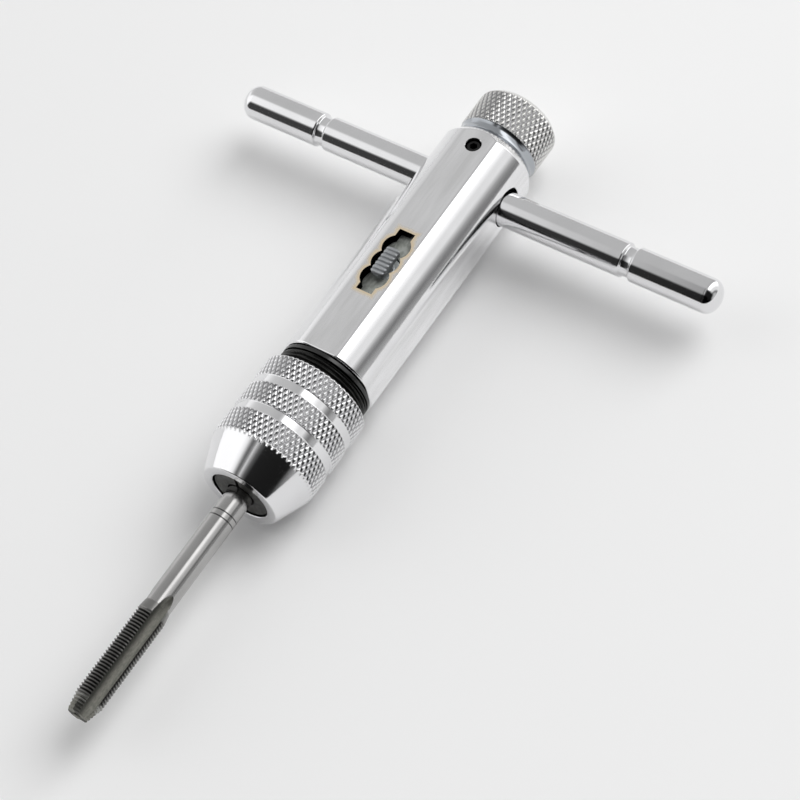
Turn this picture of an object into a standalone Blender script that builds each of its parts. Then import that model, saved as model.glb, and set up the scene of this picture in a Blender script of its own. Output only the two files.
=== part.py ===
"""Ratchet tap wrench: sliding T bar, reversing pawls, screw-down two-jaw chuck and a tap.

The body axis runs along +Y, from the tap to the clamp knob. The T bar lies along X.
The origin is on the back flat of the housing, straight under the T bar, and +Z points
out of the flat that carries the selector window. Lengths are in metres.
"""
import math

import bmesh
import bpy
from mathutils import Matrix, Vector

MM = 0.001

# Housing: a round body with four milled flats
BODY_R = 11.25 * MM
FLAT_H = 10.5 * MM            # body axis to each flat
AXIS_Z = FLAT_H               # height of the body axis above the origin
BODY_TOP_Y = 10.7 * MM
BODY_CHAMFER_Y = 8.5 * MM
BODY_TOP_R = 9.75 * MM
BODY_END_Y = -55.3 * MM
BODY_LIP = 0.5 * MM
CAVITY_TOP_Y = -11.5 * MM
CAVITY_R = 6.3 * MM
CHANNEL_R = 8.85 * MM
CHANNEL_HALF_W = 5.7 * MM
JOURNAL_STEP_Y = -47.3 * MM
JOURNAL_BORE_R = 8.95 * MM
PILOT_BORE_R = 2.6 * MM
PILOT_BORE_TOP_Y = -8.2 * MM
STEM_BORE_R = 4.6 * MM

# T bar
BAR_R = 4.0 * MM
BAR_LENGTH = 123.6 * MM
BAR_OFFSET = 2.4 * MM         # rest place of the bar's middle
BAR_DOME = 3.0 * MM
GROOVE_FROM_END = 21.9 * MM
GROOVE_DEPTH = 0.55 * MM
GROOVE_HALF_W = 1.3 * MM
BAR_HOLE_R = 4.55 * MM
BAR_HOLE_Y = 0.4 * MM

# Clamp knob, plunger and grub screw
KNOB_R = 9.85 * MM
KNOB_NECK_R = 9.65 * MM
KNOB_TOP_Y = 22.9 * MM
KNOB_TOP_R = 8.85 * MM
KNOB_CHAMFER_Y = 21.75 * MM
KNURL_LOW_Y = 13.5 * MM
KNOB_LOW_Y = 11.0 * MM
STEM_R = 4.3 * MM
STEM_END_Y = 7.9 * MM
PLUNGER_R = 4.2 * MM
SADDLE_R = 4.3 * MM
PLUNGER_LOW_Y = 3.0 * MM
PLUNGER_TOP_Y = 7.55 * MM
GRUB_Y = 5.5 * MM
GRUB_HOLE_R = 1.8 * MM
GRUB_R = 1.62 * MM
DOG_R = 1.0 * MM

# Selector window, slide and thumb button
WINDOW_Y = (-38.1 * MM, -21.2 * MM)
WINDOW_HALF_W = 1.75 * MM
DETENT_R = 3.0 * MM
DETENT_PITCH = 4.3 * MM
SELECTOR_Y = -29.8 * MM       # middle detent, and rest place of the button
SLIDE_Y = (-42.6 * MM, -16.7 * MM)
SLIDE_OUTER_R = 8.6 * MM
SLIDE_INNER_R = 5.0 * MM
SLIDE_HALF_W = 5.5 * MM
SLIDE_LOW_Z = 2.5 * MM
POCKET_R = 3.05 * MM
POCKET_FLOOR_Z = 6.0 * MM
COLLAR_R = 2.85 * MM
COLLAR_Z = (7.3 * MM, 8.15 * MM)
BUTTON_NECK_R = 1.5 * MM
BUTTON_Z = (9.75 * MM, 11.2 * MM)
BUTTON_HALF_W = 1.6 * MM
BUTTON_HALF_L = 3.9 * MM
RIB_PITCH = 1.1 * MM
RIB_COUNT = 7
RIB_SLOT = 0.45 * MM

# Pawls
PAWL_Y = {"forward": -20.4 * MM, "reverse": -38.9 * MM}
PAWL_HALF_W = 1.7 * MM
PAWL_HALF_L = 2.3 * MM
PAWL_TIP_Z = 3.85 * MM
PAWL_TOP_Z = 6.6 * MM
PAWL_HOLE_R = 1.15 * MM
PAWL_HOLE_FLOOR_Z = 5.4 * MM
PAWL_ROOM_TOP_Z = 8.0 * MM
PAWL_ROOM_GAP = 0.2 * MM

# Spindle with its ratchet teeth
GEAR_TEETH = 12
GEAR_TIP_R = 4.6 * MM
GEAR_ROOT_R = 3.6 * MM
GEAR_Y = (-40.6 * MM, -18.7 * MM)
GAP_TOP_HALF_W = 0.8 * MM
GAP_ROOT_HALF_W = 0.36 * MM
SHAFT_R = 3.3 * MM
PILOT_R = 2.3 * MM
PILOT_TOP_Y = -8.6 * MM
JOURNAL_R = 8.75 * MM
JOURNAL_TOP_Y = -47.6 * MM
RING_GROOVE_Y = -51.5 * MM
RING_GROOVE_HALF_W = 0.65 * MM
NECK_R = 10.9 * MM
NECK_TOP_Y = -56.8 * MM
NECK_LOW_Y = -63.2 * MM
BARREL_R = 9.3 * MM
BARREL_END_Y = -76.8 * MM
SLOT_HALF_W = 4.3 * MM
SLOT_TOP_Y = -70.6 * MM
SHANK_BORE_R = 4.0 * MM

# Chuck sleeve
SLEEVE_R = 12.5 * MM
SLEEVE_TOP_Y = -59.8 * MM
NOSE_Y = -88.6 * MM
NOSE_R = 9.1 * MM
NOSE_HOLE_R = 6.86 * MM
CONE_TOP_Y = -79.9 * MM
CONE_SLOPE = 0.39
SLEEVE_BORE_R = 9.65 * MM
SLEEVE_THREAD_R = 11.2 * MM
SLEEVE_THREAD_LOW_Y = -64.5 * MM
BANDS = ((-65.2 * MM, -67.4 * MM, 0.1 * MM, 12.2 * MM), (-72.2 * MM, -74.6 * MM, 0.2 * MM, 11.95 * MM))
O_RING_Y = -69.6 * MM
O_RING_WIRE_R = 0.5 * MM

# Jaws
JAW_NOSE_Y = -88.1 * MM
JAW_NOSE_R = 6.6 * MM
JAW_R = 8.3 * MM
JAW_BACK_Y = -77.1 * MM
JAW_TAIL_Y = -71.0 * MM
JAW_TAIL_R = 8.0 * MM
JAW_TAIL_HALF_W = 4.0 * MM
JAW_SLIT = 0.4 * MM           # half the slit between the jaws
JAW_SQUARE = 5.5 * MM
JAW_PLAIN_Y = -87.0 * MM      # below this the jaws are round inside
JAW_BORE_R = 3.3 * MM
JAW_SPRING_Y = -80.5 * MM
JAW_SPRING_Z = 5.6 * MM

# Tap, M7 x 0.75
TAP_R = 3.5 * MM
SHANK_R = 3.0 * MM
TAP_TAIL_Y = -78.1 * MM
TAP_SQUARE = 4.9 * MM
SQUARE_LOW_Y = -86.0 * MM
THREAD_TOP_Y = -118.8 * MM
FULL_THREAD_Y = -121.0 * MM   # above this the blank tapers from the shank
LEAD_Y = -142.4 * MM
TAP_TIP_Y = -146.1 * MM
TAP_TIP_R = 2.45 * MM
FLUTE_R = 1.8 * MM
FLUTE_OFFSET = 3.75 * MM
FLUTE_FULL_Y = -120.6 * MM    # the flutes run out above this
FLUTE_TOP_Y = -114.0 * MM
FLUTE_CUTTER_R = 13.0 * MM
FLUTE_ANGLES = (51.5, 171.5, 291.5)   # degrees from +Z towards +X

STEPS = 48
FINE = 24


def clear_scene():
    for obj in list(bpy.data.objects):
        bpy.data.objects.remove(obj, do_unlink=True)
    for mesh in list(bpy.data.meshes):
        bpy.data.meshes.remove(mesh)
    for collection in list(bpy.data.collections):
        bpy.data.collections.remove(collection)


def new_collection(name):
    collection = bpy.data.collections.new(name)
    bpy.context.scene.collection.children.link(collection)
    return collection


def finish(name, colour, metallic, roughness):
    material = bpy.data.materials.new(name)
    material.use_nodes = True
    shader = material.node_tree.nodes["Principled BSDF"]
    shader.inputs["Base Color"].default_value = (*colour, 1.0)
    shader.inputs["Metallic"].default_value = metallic
    shader.inputs["Roughness"].default_value = roughness
    return material


clear_scene()
PARTS = new_collection("ratchet_tap_wrench")
CUTTERS = new_collection("cutters")

FINISHES = {
    "housing": ("chrome_housing", (0.80, 0.80, 0.80), 1.0, 0.16),
    "handle_bar": ("chrome_bar", (0.78, 0.78, 0.78), 1.0, 0.14),
    "clamp_knob": ("chrome_knob", (0.68, 0.69, 0.70), 1.0, 0.28),
    "clamp_plunger": ("plunger_brass", (0.72, 0.55, 0.28), 1.0, 0.35),
    "plunger_screw": ("black_screw", (0.03, 0.03, 0.03), 0.7, 0.45),
    "selector_slide": ("slide_steel", (0.22, 0.23, 0.24), 0.9, 0.42),
    "thumb_button": ("button_steel", (0.42, 0.43, 0.44), 1.0, 0.35),
    "button_spring": ("spring_steel", (0.55, 0.55, 0.56), 1.0, 0.30),
    "pawl_forward": ("pawl_steel", (0.30, 0.30, 0.31), 1.0, 0.38),
    "pawl_reverse": ("pawl_steel_2", (0.30, 0.30, 0.31), 1.0, 0.38),
    "pawl_spring_forward": ("spring_steel_2", (0.55, 0.55, 0.56), 1.0, 0.30),
    "pawl_spring_reverse": ("spring_steel_3", (0.55, 0.55, 0.56), 1.0, 0.30),
    "spindle": ("black_oxide", (0.025, 0.025, 0.025), 0.8, 0.35),
    "snap_ring": ("ring_steel", (0.40, 0.40, 0.41), 1.0, 0.35),
    "thrust_washer": ("washer_steel", (0.66, 0.66, 0.66), 1.0, 0.22),
    "jaw_sleeve": ("chrome_sleeve", (0.80, 0.80, 0.80), 1.0, 0.16),
    "sleeve_o_ring": ("o_ring_rubber", (0.02, 0.02, 0.02), 0.0, 0.70),
    "jaw_left": ("jaw_steel", (0.10, 0.10, 0.10), 0.8, 0.45),
    "jaw_right": ("jaw_steel_2", (0.10, 0.10, 0.10), 0.8, 0.45),
    "jaw_spring_upper": ("spring_steel_4", (0.55, 0.55, 0.56), 1.0, 0.30),
    "jaw_spring_lower": ("spring_steel_5", (0.55, 0.55, 0.56), 1.0, 0.30),
    "tap": ("tap_steel", (0.50, 0.50, 0.50), 1.0, 0.25),
}

ALONG_Y = Matrix.Rotation(-math.pi / 2, 4, "X")   # local Z becomes world +Y
ALONG_X = Matrix.Rotation(math.pi / 2, 4, "Y")    # local Z becomes world +X
ALONG_Z = Matrix.Identity(4)


def at(x, y, z):
    """A world point from its place relative to the body axis."""
    return Vector((x, y, z + AXIS_Z))


def add_object(name, data, turn=ALONG_Z, place=None):
    obj = bpy.data.objects.new(name, data)
    obj.rotation_euler = turn.to_euler()
    obj.location = at(0, 0, 0) if place is None else place
    if name in FINISHES:
        data.materials.append(finish(*FINISHES[name]))
        PARTS.objects.link(obj)
    else:
        obj.hide_render = True
        obj.display_type = "WIRE"
        CUTTERS.objects.link(obj)
    return obj


def turned(name, profile, turn=ALONG_Y, place=None, steps=STEPS, ring=False):
    """A solid of revolution. The profile holds (radius, height), from the top down the outside."""
    mesh = bpy.data.meshes.new(name)
    points = [(r, 0.0, z) for r, z in profile]
    edges = [(i, i + 1) for i in range(len(points) - 1)]
    if ring:
        edges.append((len(points) - 1, 0))
    mesh.from_pydata(points, edges, [])
    obj = add_object(name, mesh, turn, place)
    screw = obj.modifiers.new("Turn", "SCREW")
    screw.axis = "Z"
    screw.angle = 2 * math.pi
    screw.steps = steps
    screw.render_steps = steps
    screw.use_merge_vertices = True
    screw.merge_threshold = 0.00001
    screw.use_smooth_shade = True
    return obj


def bar_between(name, radius, low, high, turn=ALONG_Y, place=None, steps=STEPS):
    """A plain cylinder between two heights along its own axis."""
    return turned(name, [(0, high), (radius, high), (radius, low), (0, low)], turn, place, steps)


def box(name, low, high, spin=None, corner=0.0):
    """A block between two corners, given relative to the body axis."""
    mesh = bpy.data.meshes.new(name)
    bm = bmesh.new()
    bmesh.ops.create_cube(bm, size=1.0)
    size = [h - l for l, h in zip(low, high)]
    middle = [(h + l) / 2 for l, h in zip(low, high)]
    bmesh.ops.scale(bm, vec=size, verts=bm.verts)
    if corner:
        upright = [e for e in bm.edges if abs(e.verts[0].co.z - e.verts[1].co.z) > 0.5 * size[2]]
        bmesh.ops.bevel(bm, geom=upright, offset=corner, segments=4, profile=0.5, affect="EDGES")
    bmesh.ops.translate(bm, vec=middle, verts=bm.verts)
    if spin:
        bmesh.ops.rotate(bm, verts=bm.verts, matrix=spin)
    bm.to_mesh(mesh)
    bm.free()
    return add_object(name, mesh)


def prism(name, outline, low, high, turn=ALONG_Y, place=None):
    """A flat outline in local XY, extruded between two heights."""
    mesh = bpy.data.meshes.new(name)
    bm = bmesh.new()
    face = bm.faces.new([bm.verts.new((x, y, low)) for x, y in outline])
    grown = bmesh.ops.extrude_face_region(bm, geom=[face])
    top = [v for v in grown["geom"] if isinstance(v, bmesh.types.BMVert)]
    bmesh.ops.translate(bm, vec=(0, 0, high - low), verts=top)
    bmesh.ops.recalc_face_normals(bm, faces=bm.faces)
    bm.to_mesh(mesh)
    bm.free()
    return add_object(name, mesh, turn, place)


def combine(obj, other, operation):
    boolean = obj.modifiers.new(other.name, "BOOLEAN")
    boolean.object = other
    boolean.operation = operation
    boolean.solver = "EXACT"


def cut(obj, *cutters):
    for cutter in cutters:
        combine(obj, cutter, "DIFFERENCE")


def loft(name, centres, radius, steps=FINE):
    """A solid with the same round section across the body axis at each centre, for cutting."""
    mesh = bpy.data.meshes.new(name)
    bm = bmesh.new()
    rings = []
    for x, y, z in centres:
        angles = [2 * math.pi * i / steps for i in range(steps)]
        rings.append([bm.verts.new((x + radius * math.sin(a), y, z + radius * math.cos(a))) for a in angles])
    for ring, following in zip(rings, rings[1:]):
        for i in range(steps):
            j = (i + 1) % steps
            bm.faces.new((ring[i], ring[j], following[j], following[i]))
    for cap in (rings[0], rings[-1]):
        bm.faces.new(cap)
    bmesh.ops.recalc_face_normals(bm, faces=bm.faces)
    bm.to_mesh(mesh)
    bm.free()
    return add_object(name, mesh)


def wire(name, points, radius, place=None):
    """A round wire through points, with closed ends."""
    curve = bpy.data.curves.new(name, "CURVE")
    curve.dimensions = "3D"
    curve.bevel_depth = radius
    curve.bevel_resolution = 2
    curve.use_fill_caps = True
    spline = curve.splines.new("POLY")
    spline.points.add(len(points) - 1)
    for point, where in zip(spline.points, points):
        point.co = (*where, 1.0)
    return add_object(name, curve, ALONG_Z, place)


def coil(name, radius, wire_r, low, high, turns, axis="Z", middle=(0, 0, 0), per_turn=10):
    """A coil spring along Z or X, between two heights of its wire's centre line."""
    points = []
    count = turns * per_turn
    for i in range(count + 1):
        angle = 2 * math.pi * i / per_turn
        side = (radius * math.cos(angle), radius * math.sin(angle))
        height = low + (high - low) * i / count
        points.append((height, *side) if axis == "X" else (*side, height))
    return wire(name, points, wire_r, at(*middle))


def make_housing():
    margin = 2 * MM
    groove_r = JOURNAL_BORE_R + 0.45 * MM
    body = turned("housing", [
        (0, 0), (STEM_BORE_R, 0), (STEM_BORE_R, BODY_TOP_Y), (BODY_TOP_R, BODY_TOP_Y),
        (BODY_R, BODY_CHAMFER_Y), (BODY_R, BODY_END_Y + BODY_LIP), (BODY_R - BODY_LIP, BODY_END_Y),
        (JOURNAL_BORE_R, BODY_END_Y), (JOURNAL_BORE_R, RING_GROOVE_Y - RING_GROOVE_HALF_W),
        (groove_r, RING_GROOVE_Y - RING_GROOVE_HALF_W),
        (groove_r, RING_GROOVE_Y + RING_GROOVE_HALF_W), (JOURNAL_BORE_R, RING_GROOVE_Y + RING_GROOVE_HALF_W),
        (JOURNAL_BORE_R, JOURNAL_STEP_Y), (CAVITY_R, JOURNAL_STEP_Y), (CAVITY_R, CAVITY_TOP_Y),
        (PILOT_BORE_R, CAVITY_TOP_Y), (PILOT_BORE_R, PILOT_BORE_TOP_Y), (0, PILOT_BORE_TOP_Y)], steps=64)
    flats = box("cut_flats", (-FLAT_H, BODY_END_Y - margin, -FLAT_H), (FLAT_H, BODY_TOP_Y + margin, FLAT_H))
    combine(body, flats, "INTERSECT")
    channel = bar_between("cut_channel", CHANNEL_R, JOURNAL_STEP_Y - 0.5 * MM, CAVITY_TOP_Y - 0.2 * MM)
    combine(channel, box("cut_channel_walls", (-CHANNEL_HALF_W, -60 * MM, 1 * MM),
                         (CHANNEL_HALF_W, 0, BODY_R)), "INTERSECT")
    bar_hole = bar_between("cut_bar_hole", BAR_HOLE_R, -15 * MM, 15 * MM, ALONG_X, at(0, BAR_HOLE_Y, 0))
    grub_hole = bar_between("cut_grub_hole", GRUB_HOLE_R, 3.5 * MM, 12 * MM, ALONG_Z, at(0, GRUB_Y, 0), FINE)
    window = box("cut_window", (-WINDOW_HALF_W, WINDOW_Y[0], 7.5 * MM),
                 (WINDOW_HALF_W, WINDOW_Y[1], 12 * MM))
    cut(body, channel, bar_hole, grub_hole, window)
    for step in (-1, 0, 1):
        place = at(0, SELECTOR_Y + step * DETENT_PITCH, 0)
        cut(body, bar_between(f"cut_detent_{step + 2}", DETENT_R, 7.6 * MM, 12.1 * MM, ALONG_Z, place, 32))


def bar_end(sign, middle):
    """Half of the bar's profile, from its domed end to just past the groove."""
    tip = BAR_LENGTH / 2
    points = []
    for i in range(7):
        angle = math.pi / 2 * i / 6
        points.append((BAR_R * math.sin(angle), tip - BAR_DOME * (1 - math.cos(angle))))
    groove = tip - GROOVE_FROM_END
    shoulder = 0.45 * MM
    points += [(BAR_R, groove + GROOVE_HALF_W), (BAR_R - GROOVE_DEPTH, groove + GROOVE_HALF_W - shoulder),
               (BAR_R - GROOVE_DEPTH, groove - GROOVE_HALF_W + shoulder), (BAR_R, groove - GROOVE_HALF_W)]
    return [(r, middle + sign * z) for r, z in points]


def make_bar():
    profile = bar_end(1, BAR_OFFSET) + bar_end(-1, BAR_OFFSET)[::-1]
    turned("handle_bar", profile, ALONG_X, steps=40)


def make_clamp():
    turned("clamp_knob", [
        (0, KNOB_TOP_Y), (KNOB_TOP_R, KNOB_TOP_Y), (KNOB_R, KNOB_CHAMFER_Y), (KNOB_R, KNURL_LOW_Y),
        (KNOB_NECK_R, KNURL_LOW_Y), (KNOB_NECK_R, KNOB_LOW_Y), (STEM_R, KNOB_LOW_Y),
        (STEM_R, STEM_END_Y), (0, STEM_END_Y)])
    plunger = bar_between("clamp_plunger", PLUNGER_R, PLUNGER_LOW_Y, PLUNGER_TOP_Y, steps=32)
    saddle = bar_between("cut_saddle", SADDLE_R, -8 * MM, 8 * MM, ALONG_X)
    key_slot = box("cut_key_slot", (-1.3 * MM, 4.35 * MM, 3.2 * MM), (1.3 * MM, 6.9 * MM, 6 * MM))
    cut(plunger, saddle, key_slot)
    screw = turned("plunger_screw", [
        (0, 9.9 * MM), (1.4 * MM, 9.9 * MM), (GRUB_R, 9.65 * MM), (GRUB_R, 4.9 * MM), (DOG_R, 4.9 * MM),
        (DOG_R, 3.6 * MM), (0, 3.6 * MM)], ALONG_Z, at(0, GRUB_Y, 0), FINE)
    cut(screw, bar_between("cut_hex_socket", 0.95 * MM, 8.3 * MM, 10.5 * MM, ALONG_Z, at(0, GRUB_Y, 0), 6))


def make_selector():
    slide = bar_between("selector_slide", SLIDE_OUTER_R, *SLIDE_Y)
    walls = box("cut_slide_walls", (-SLIDE_HALF_W, -60 * MM, SLIDE_LOW_Z), (SLIDE_HALF_W, 0, BODY_R))
    combine(slide, walls, "INTERSECT")
    cut(slide, bar_between("cut_slide_bore", SLIDE_INNER_R, -50 * MM, -10 * MM))
    pocket_place = at(0, SELECTOR_Y, 0)
    cut(slide, bar_between("cut_pocket", POCKET_R, POCKET_FLOOR_Z, 12 * MM, ALONG_Z, pocket_place, 32))
    for hand, y in PAWL_Y.items():
        half_w = PAWL_HALF_W + PAWL_ROOM_GAP
        half_l = PAWL_HALF_L + PAWL_ROOM_GAP
        cut(slide, box(f"cut_pawl_room_{hand}", (-half_w, y - half_l, 2 * MM),
                       (half_w, y + half_l, PAWL_ROOM_TOP_Z)))


def make_button():
    place = at(0, SELECTOR_Y, 0)
    button = turned("thumb_button", [
        (0, 9.95 * MM), (BUTTON_NECK_R, 9.95 * MM), (BUTTON_NECK_R, COLLAR_Z[1]), (COLLAR_R, COLLAR_Z[1]),
        (COLLAR_R, COLLAR_Z[0]), (0, COLLAR_Z[0])], ALONG_Z, place, 32)
    pad = box("cut_button_pad", (-BUTTON_HALF_W, SELECTOR_Y - BUTTON_HALF_L, BUTTON_Z[0]),
              (BUTTON_HALF_W, SELECTOR_Y + BUTTON_HALF_L, BUTTON_Z[1]), corner=0.9 * MM)
    combine(button, pad, "UNION")
    for i in range(RIB_COUNT - 1):
        y = SELECTOR_Y + (i - (RIB_COUNT - 2) / 2) * RIB_PITCH
        cut(button, box(f"cut_rib_{i}", (-3 * MM, y - RIB_SLOT / 2, BUTTON_Z[1] - 0.4 * MM),
                        (3 * MM, y + RIB_SLOT / 2, BUTTON_Z[1] + 1 * MM)))
    coil("button_spring", 1.9 * MM, 0.18 * MM, 6.25 * MM, 7.05 * MM, 2, middle=(0, SELECTOR_Y, 0))


def make_pawls():
    for hand, y in PAWL_Y.items():
        side = 1 if hand == "forward" else -1
        outline = [(-PAWL_HALF_W, PAWL_TOP_Z), (-PAWL_HALF_W, 5.0 * MM), (-0.6 * MM, 4.9 * MM),
                   (-0.22 * MM, PAWL_TIP_Z), (0.18 * MM, PAWL_TIP_Z), (0.62 * MM, 4.75 * MM),
                   (PAWL_HALF_W, 5.15 * MM), (PAWL_HALF_W, PAWL_TOP_Z)]
        # the outline stands in local XY, so it is laid along the body axis and turned upright
        flat = [(side * x, -z) for x, z in outline]
        pawl = prism(f"pawl_{hand}", flat, -PAWL_HALF_L, PAWL_HALF_L, ALONG_Y, at(0, y, 0))
        hole_place = at(0, y, 0)
        cut(pawl, bar_between(f"cut_pawl_hole_{hand}", PAWL_HOLE_R, PAWL_HOLE_FLOOR_Z, 9 * MM,
                              ALONG_Z, hole_place, 16))
        coil(f"pawl_spring_{hand}", 0.78 * MM, 0.14 * MM, 5.6 * MM, 7.8 * MM, 4, middle=(0, y, 0), per_turn=8)


def gear_outline():
    """Teeth with a gap centred on the selector side."""
    points = []
    for i in range(GEAR_TEETH):
        middle = 2 * math.pi * i / GEAR_TEETH
        for half_w, r in ((-GAP_TOP_HALF_W, GEAR_TIP_R), (-GAP_ROOT_HALF_W, GEAR_ROOT_R),
                          (GAP_ROOT_HALF_W, GEAR_ROOT_R), (GAP_TOP_HALF_W, GEAR_TIP_R)):
            angle = middle + math.asin(half_w / r)
            points.append((r * math.sin(angle), -r * math.cos(angle)))
    return points


def make_spindle():
    groove_r = JOURNAL_R - 0.95 * MM
    spindle = turned("spindle", [
        (0, PILOT_TOP_Y), (PILOT_R, PILOT_TOP_Y), (PILOT_R, GEAR_Y[1] + 0.4 * MM),
        (SHAFT_R, GEAR_Y[1] + 0.4 * MM), (SHAFT_R, JOURNAL_TOP_Y), (JOURNAL_R, JOURNAL_TOP_Y),
        (JOURNAL_R, RING_GROOVE_Y + RING_GROOVE_HALF_W), (groove_r, RING_GROOVE_Y + RING_GROOVE_HALF_W),
        (groove_r, RING_GROOVE_Y - RING_GROOVE_HALF_W), (JOURNAL_R, RING_GROOVE_Y - RING_GROOVE_HALF_W),
        (JOURNAL_R, NECK_TOP_Y), (NECK_R, NECK_TOP_Y), (NECK_R, NECK_LOW_Y), (BARREL_R, NECK_LOW_Y),
        (BARREL_R, BARREL_END_Y), (0, BARREL_END_Y)])
    gear = prism("cut_gear", gear_outline(), *GEAR_Y)
    combine(spindle, gear, "UNION")
    jaw_slot = box("cut_jaw_slot", (-15 * MM, -80 * MM, -SLOT_HALF_W), (15 * MM, SLOT_TOP_Y, SLOT_HALF_W))
    shank_bore = bar_between("cut_shank_bore", SHANK_BORE_R, -80 * MM, SLOT_TOP_Y + 1.5 * MM, steps=32)
    cut(spindle, jaw_slot, shank_bore)


def make_rings():
    turned("thrust_washer", [(10.9 * MM, -55.6 * MM), (10.9 * MM, -56.5 * MM),
                             (9.1 * MM, -56.5 * MM), (9.1 * MM, -55.6 * MM)], ring=True)
    opening = math.radians(22)
    count = 40
    points = []
    for i in range(count + 1):
        angle = -math.pi / 2 + opening / 2 + (2 * math.pi - opening) * i / count
        points.append((8.65 * MM * math.cos(angle), RING_GROOVE_Y, 8.65 * MM * math.sin(angle)))
    wire("snap_ring", points, 0.46 * MM)
    ring_r = BARREL_R + O_RING_WIRE_R + 0.12 * MM
    section = []
    for i in range(10):
        angle = -2 * math.pi * i / 10
        section.append((ring_r + O_RING_WIRE_R * math.cos(angle), O_RING_Y + O_RING_WIRE_R * math.sin(angle)))
    turned("sleeve_o_ring", section, ring=True)


def make_sleeve():
    chamfer = 0.5 * MM
    cone_bore_y = NOSE_Y + 0.3 * MM + (SLEEVE_BORE_R - NOSE_HOLE_R) / CONE_SLOPE
    groove_r = BARREL_R + 2 * O_RING_WIRE_R + 0.3 * MM
    half = O_RING_WIRE_R + 0.12 * MM
    bands = []
    for high, low, slope, radius in BANDS:
        bands += [(SLEEVE_R, high), (radius, high - slope), (radius, low + slope), (SLEEVE_R, low)]
    turned("jaw_sleeve", [
        (SLEEVE_R - chamfer, SLEEVE_TOP_Y), (SLEEVE_R, SLEEVE_TOP_Y - chamfer), *bands,
        (SLEEVE_R, CONE_TOP_Y),
        (NOSE_R, NOSE_Y), (NOSE_HOLE_R, NOSE_Y), (NOSE_HOLE_R, NOSE_Y + 0.3 * MM),
        (SLEEVE_BORE_R, cone_bore_y), (SLEEVE_BORE_R, O_RING_Y - half), (groove_r, O_RING_Y - half),
        (groove_r, O_RING_Y + half), (SLEEVE_BORE_R, O_RING_Y + half), (SLEEVE_BORE_R, SLEEVE_THREAD_LOW_Y),
        (SLEEVE_THREAD_R, SLEEVE_THREAD_LOW_Y), (SLEEVE_THREAD_R, SLEEVE_TOP_Y)], steps=64, ring=True)


def make_jaws():
    cone_y = JAW_NOSE_Y + (JAW_R - JAW_NOSE_R) / CONE_SLOPE
    quarter = Matrix.Rotation(math.pi / 4, 3, "Y")
    half = JAW_SQUARE / 2
    square = ((-half, JAW_PLAIN_Y, -half), (half, -60 * MM, half))
    for name, side in (("jaw_left", -1), ("jaw_right", 1)):
        jaw = turned(name, [
            (0, JAW_TAIL_Y), (JAW_TAIL_R, JAW_TAIL_Y), (JAW_TAIL_R, JAW_BACK_Y), (JAW_R, JAW_BACK_Y),
            (JAW_R, cone_y), (JAW_NOSE_R, JAW_NOSE_Y), (0, JAW_NOSE_Y)])
        near, far = sorted((side * JAW_SLIT, side * 12 * MM))
        own_half = box(f"cut_half_{name}", (near, -95 * MM, -12 * MM), (far, -60 * MM, 12 * MM))
        combine(jaw, own_half, "INTERSECT")
        for level in (-1, 1):
            low, high = sorted((level * JAW_TAIL_HALF_W, level * 12 * MM))
            cut(jaw, box(f"cut_tail_{name}_{level + 1}", (-12 * MM, JAW_BACK_Y + 0.01 * MM, low),
                         (12 * MM, -60 * MM, high)))
            hole_place = at(0, JAW_SPRING_Y, level * JAW_SPRING_Z)
            cut(jaw, bar_between(f"cut_spring_hole_{name}_{level + 1}", 1.2 * MM, -3.9 * MM, 3.9 * MM,
                                 ALONG_X, hole_place, 16))
        cut(jaw, box(f"cut_square_{name}", *square, spin=quarter))
        cut(jaw, bar_between(f"cut_shank_{name}", JAW_BORE_R, -90 * MM, SQUARE_LOW_Y + 0.3 * MM, steps=32))
    for name, level in (("jaw_spring_upper", 1), ("jaw_spring_lower", -1)):
        coil(name, 0.8 * MM, 0.14 * MM, -3.5 * MM, 3.5 * MM, 6, "X",
             (0, JAW_SPRING_Y, level * JAW_SPRING_Z), per_turn=8)


def make_tap():
    tap = turned("tap", [
        (0, TAP_TAIL_Y), (2.6 * MM, TAP_TAIL_Y), (SHANK_R, TAP_TAIL_Y - 0.4 * MM),
        (SHANK_R, THREAD_TOP_Y + 0.1 * MM), (SHANK_R + 0.12 * MM, THREAD_TOP_Y), (TAP_R, FULL_THREAD_Y),
        (TAP_R, LEAD_Y), (TAP_TIP_R, TAP_TIP_Y), (0, TAP_TIP_Y)])
    for i in range(4):
        spin = Matrix.Rotation(math.pi / 4 + i * math.pi / 2, 3, "Y")
        cut(tap, box(f"cut_square_side_{i}", (TAP_SQUARE / 2, SQUARE_LOW_Y, -5 * MM),
                     (5 * MM, -70 * MM, 5 * MM), spin=spin))
    rise = FLUTE_TOP_Y - FLUTE_FULL_Y
    run = [(FLUTE_OFFSET, TAP_TIP_Y - 1 * MM)]
    for i in range(9):
        climb = rise * i / 8
        run.append((FLUTE_OFFSET + climb ** 2 / (2 * FLUTE_CUTTER_R), FLUTE_FULL_Y + climb))
    for i, degrees in enumerate(FLUTE_ANGLES):
        angle = math.radians(degrees)
        points = [(offset * math.sin(angle), y, offset * math.cos(angle)) for offset, y in run]
        cut(tap, loft(f"cut_flute_{i}", points, FLUTE_R))


make_housing()
make_bar()
make_clamp()
make_selector()
make_button()
make_pawls()
make_spindle()
make_rings()
make_sleeve()
make_jaws()
make_tap()
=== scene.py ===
"""Looks of the ratchet tap wrench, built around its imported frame.

The frame is the CAD model: the body axis runs along +Y at AXIS_Z above the origin, the
T bar lies along X, and +Z points out of the flat with the selector window. Heights and
offsets below are in metres, relative to the body axis unless a comment says otherwise.
"""
import math

import bpy
import numpy as np
from mathutils import Matrix, Vector


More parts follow.
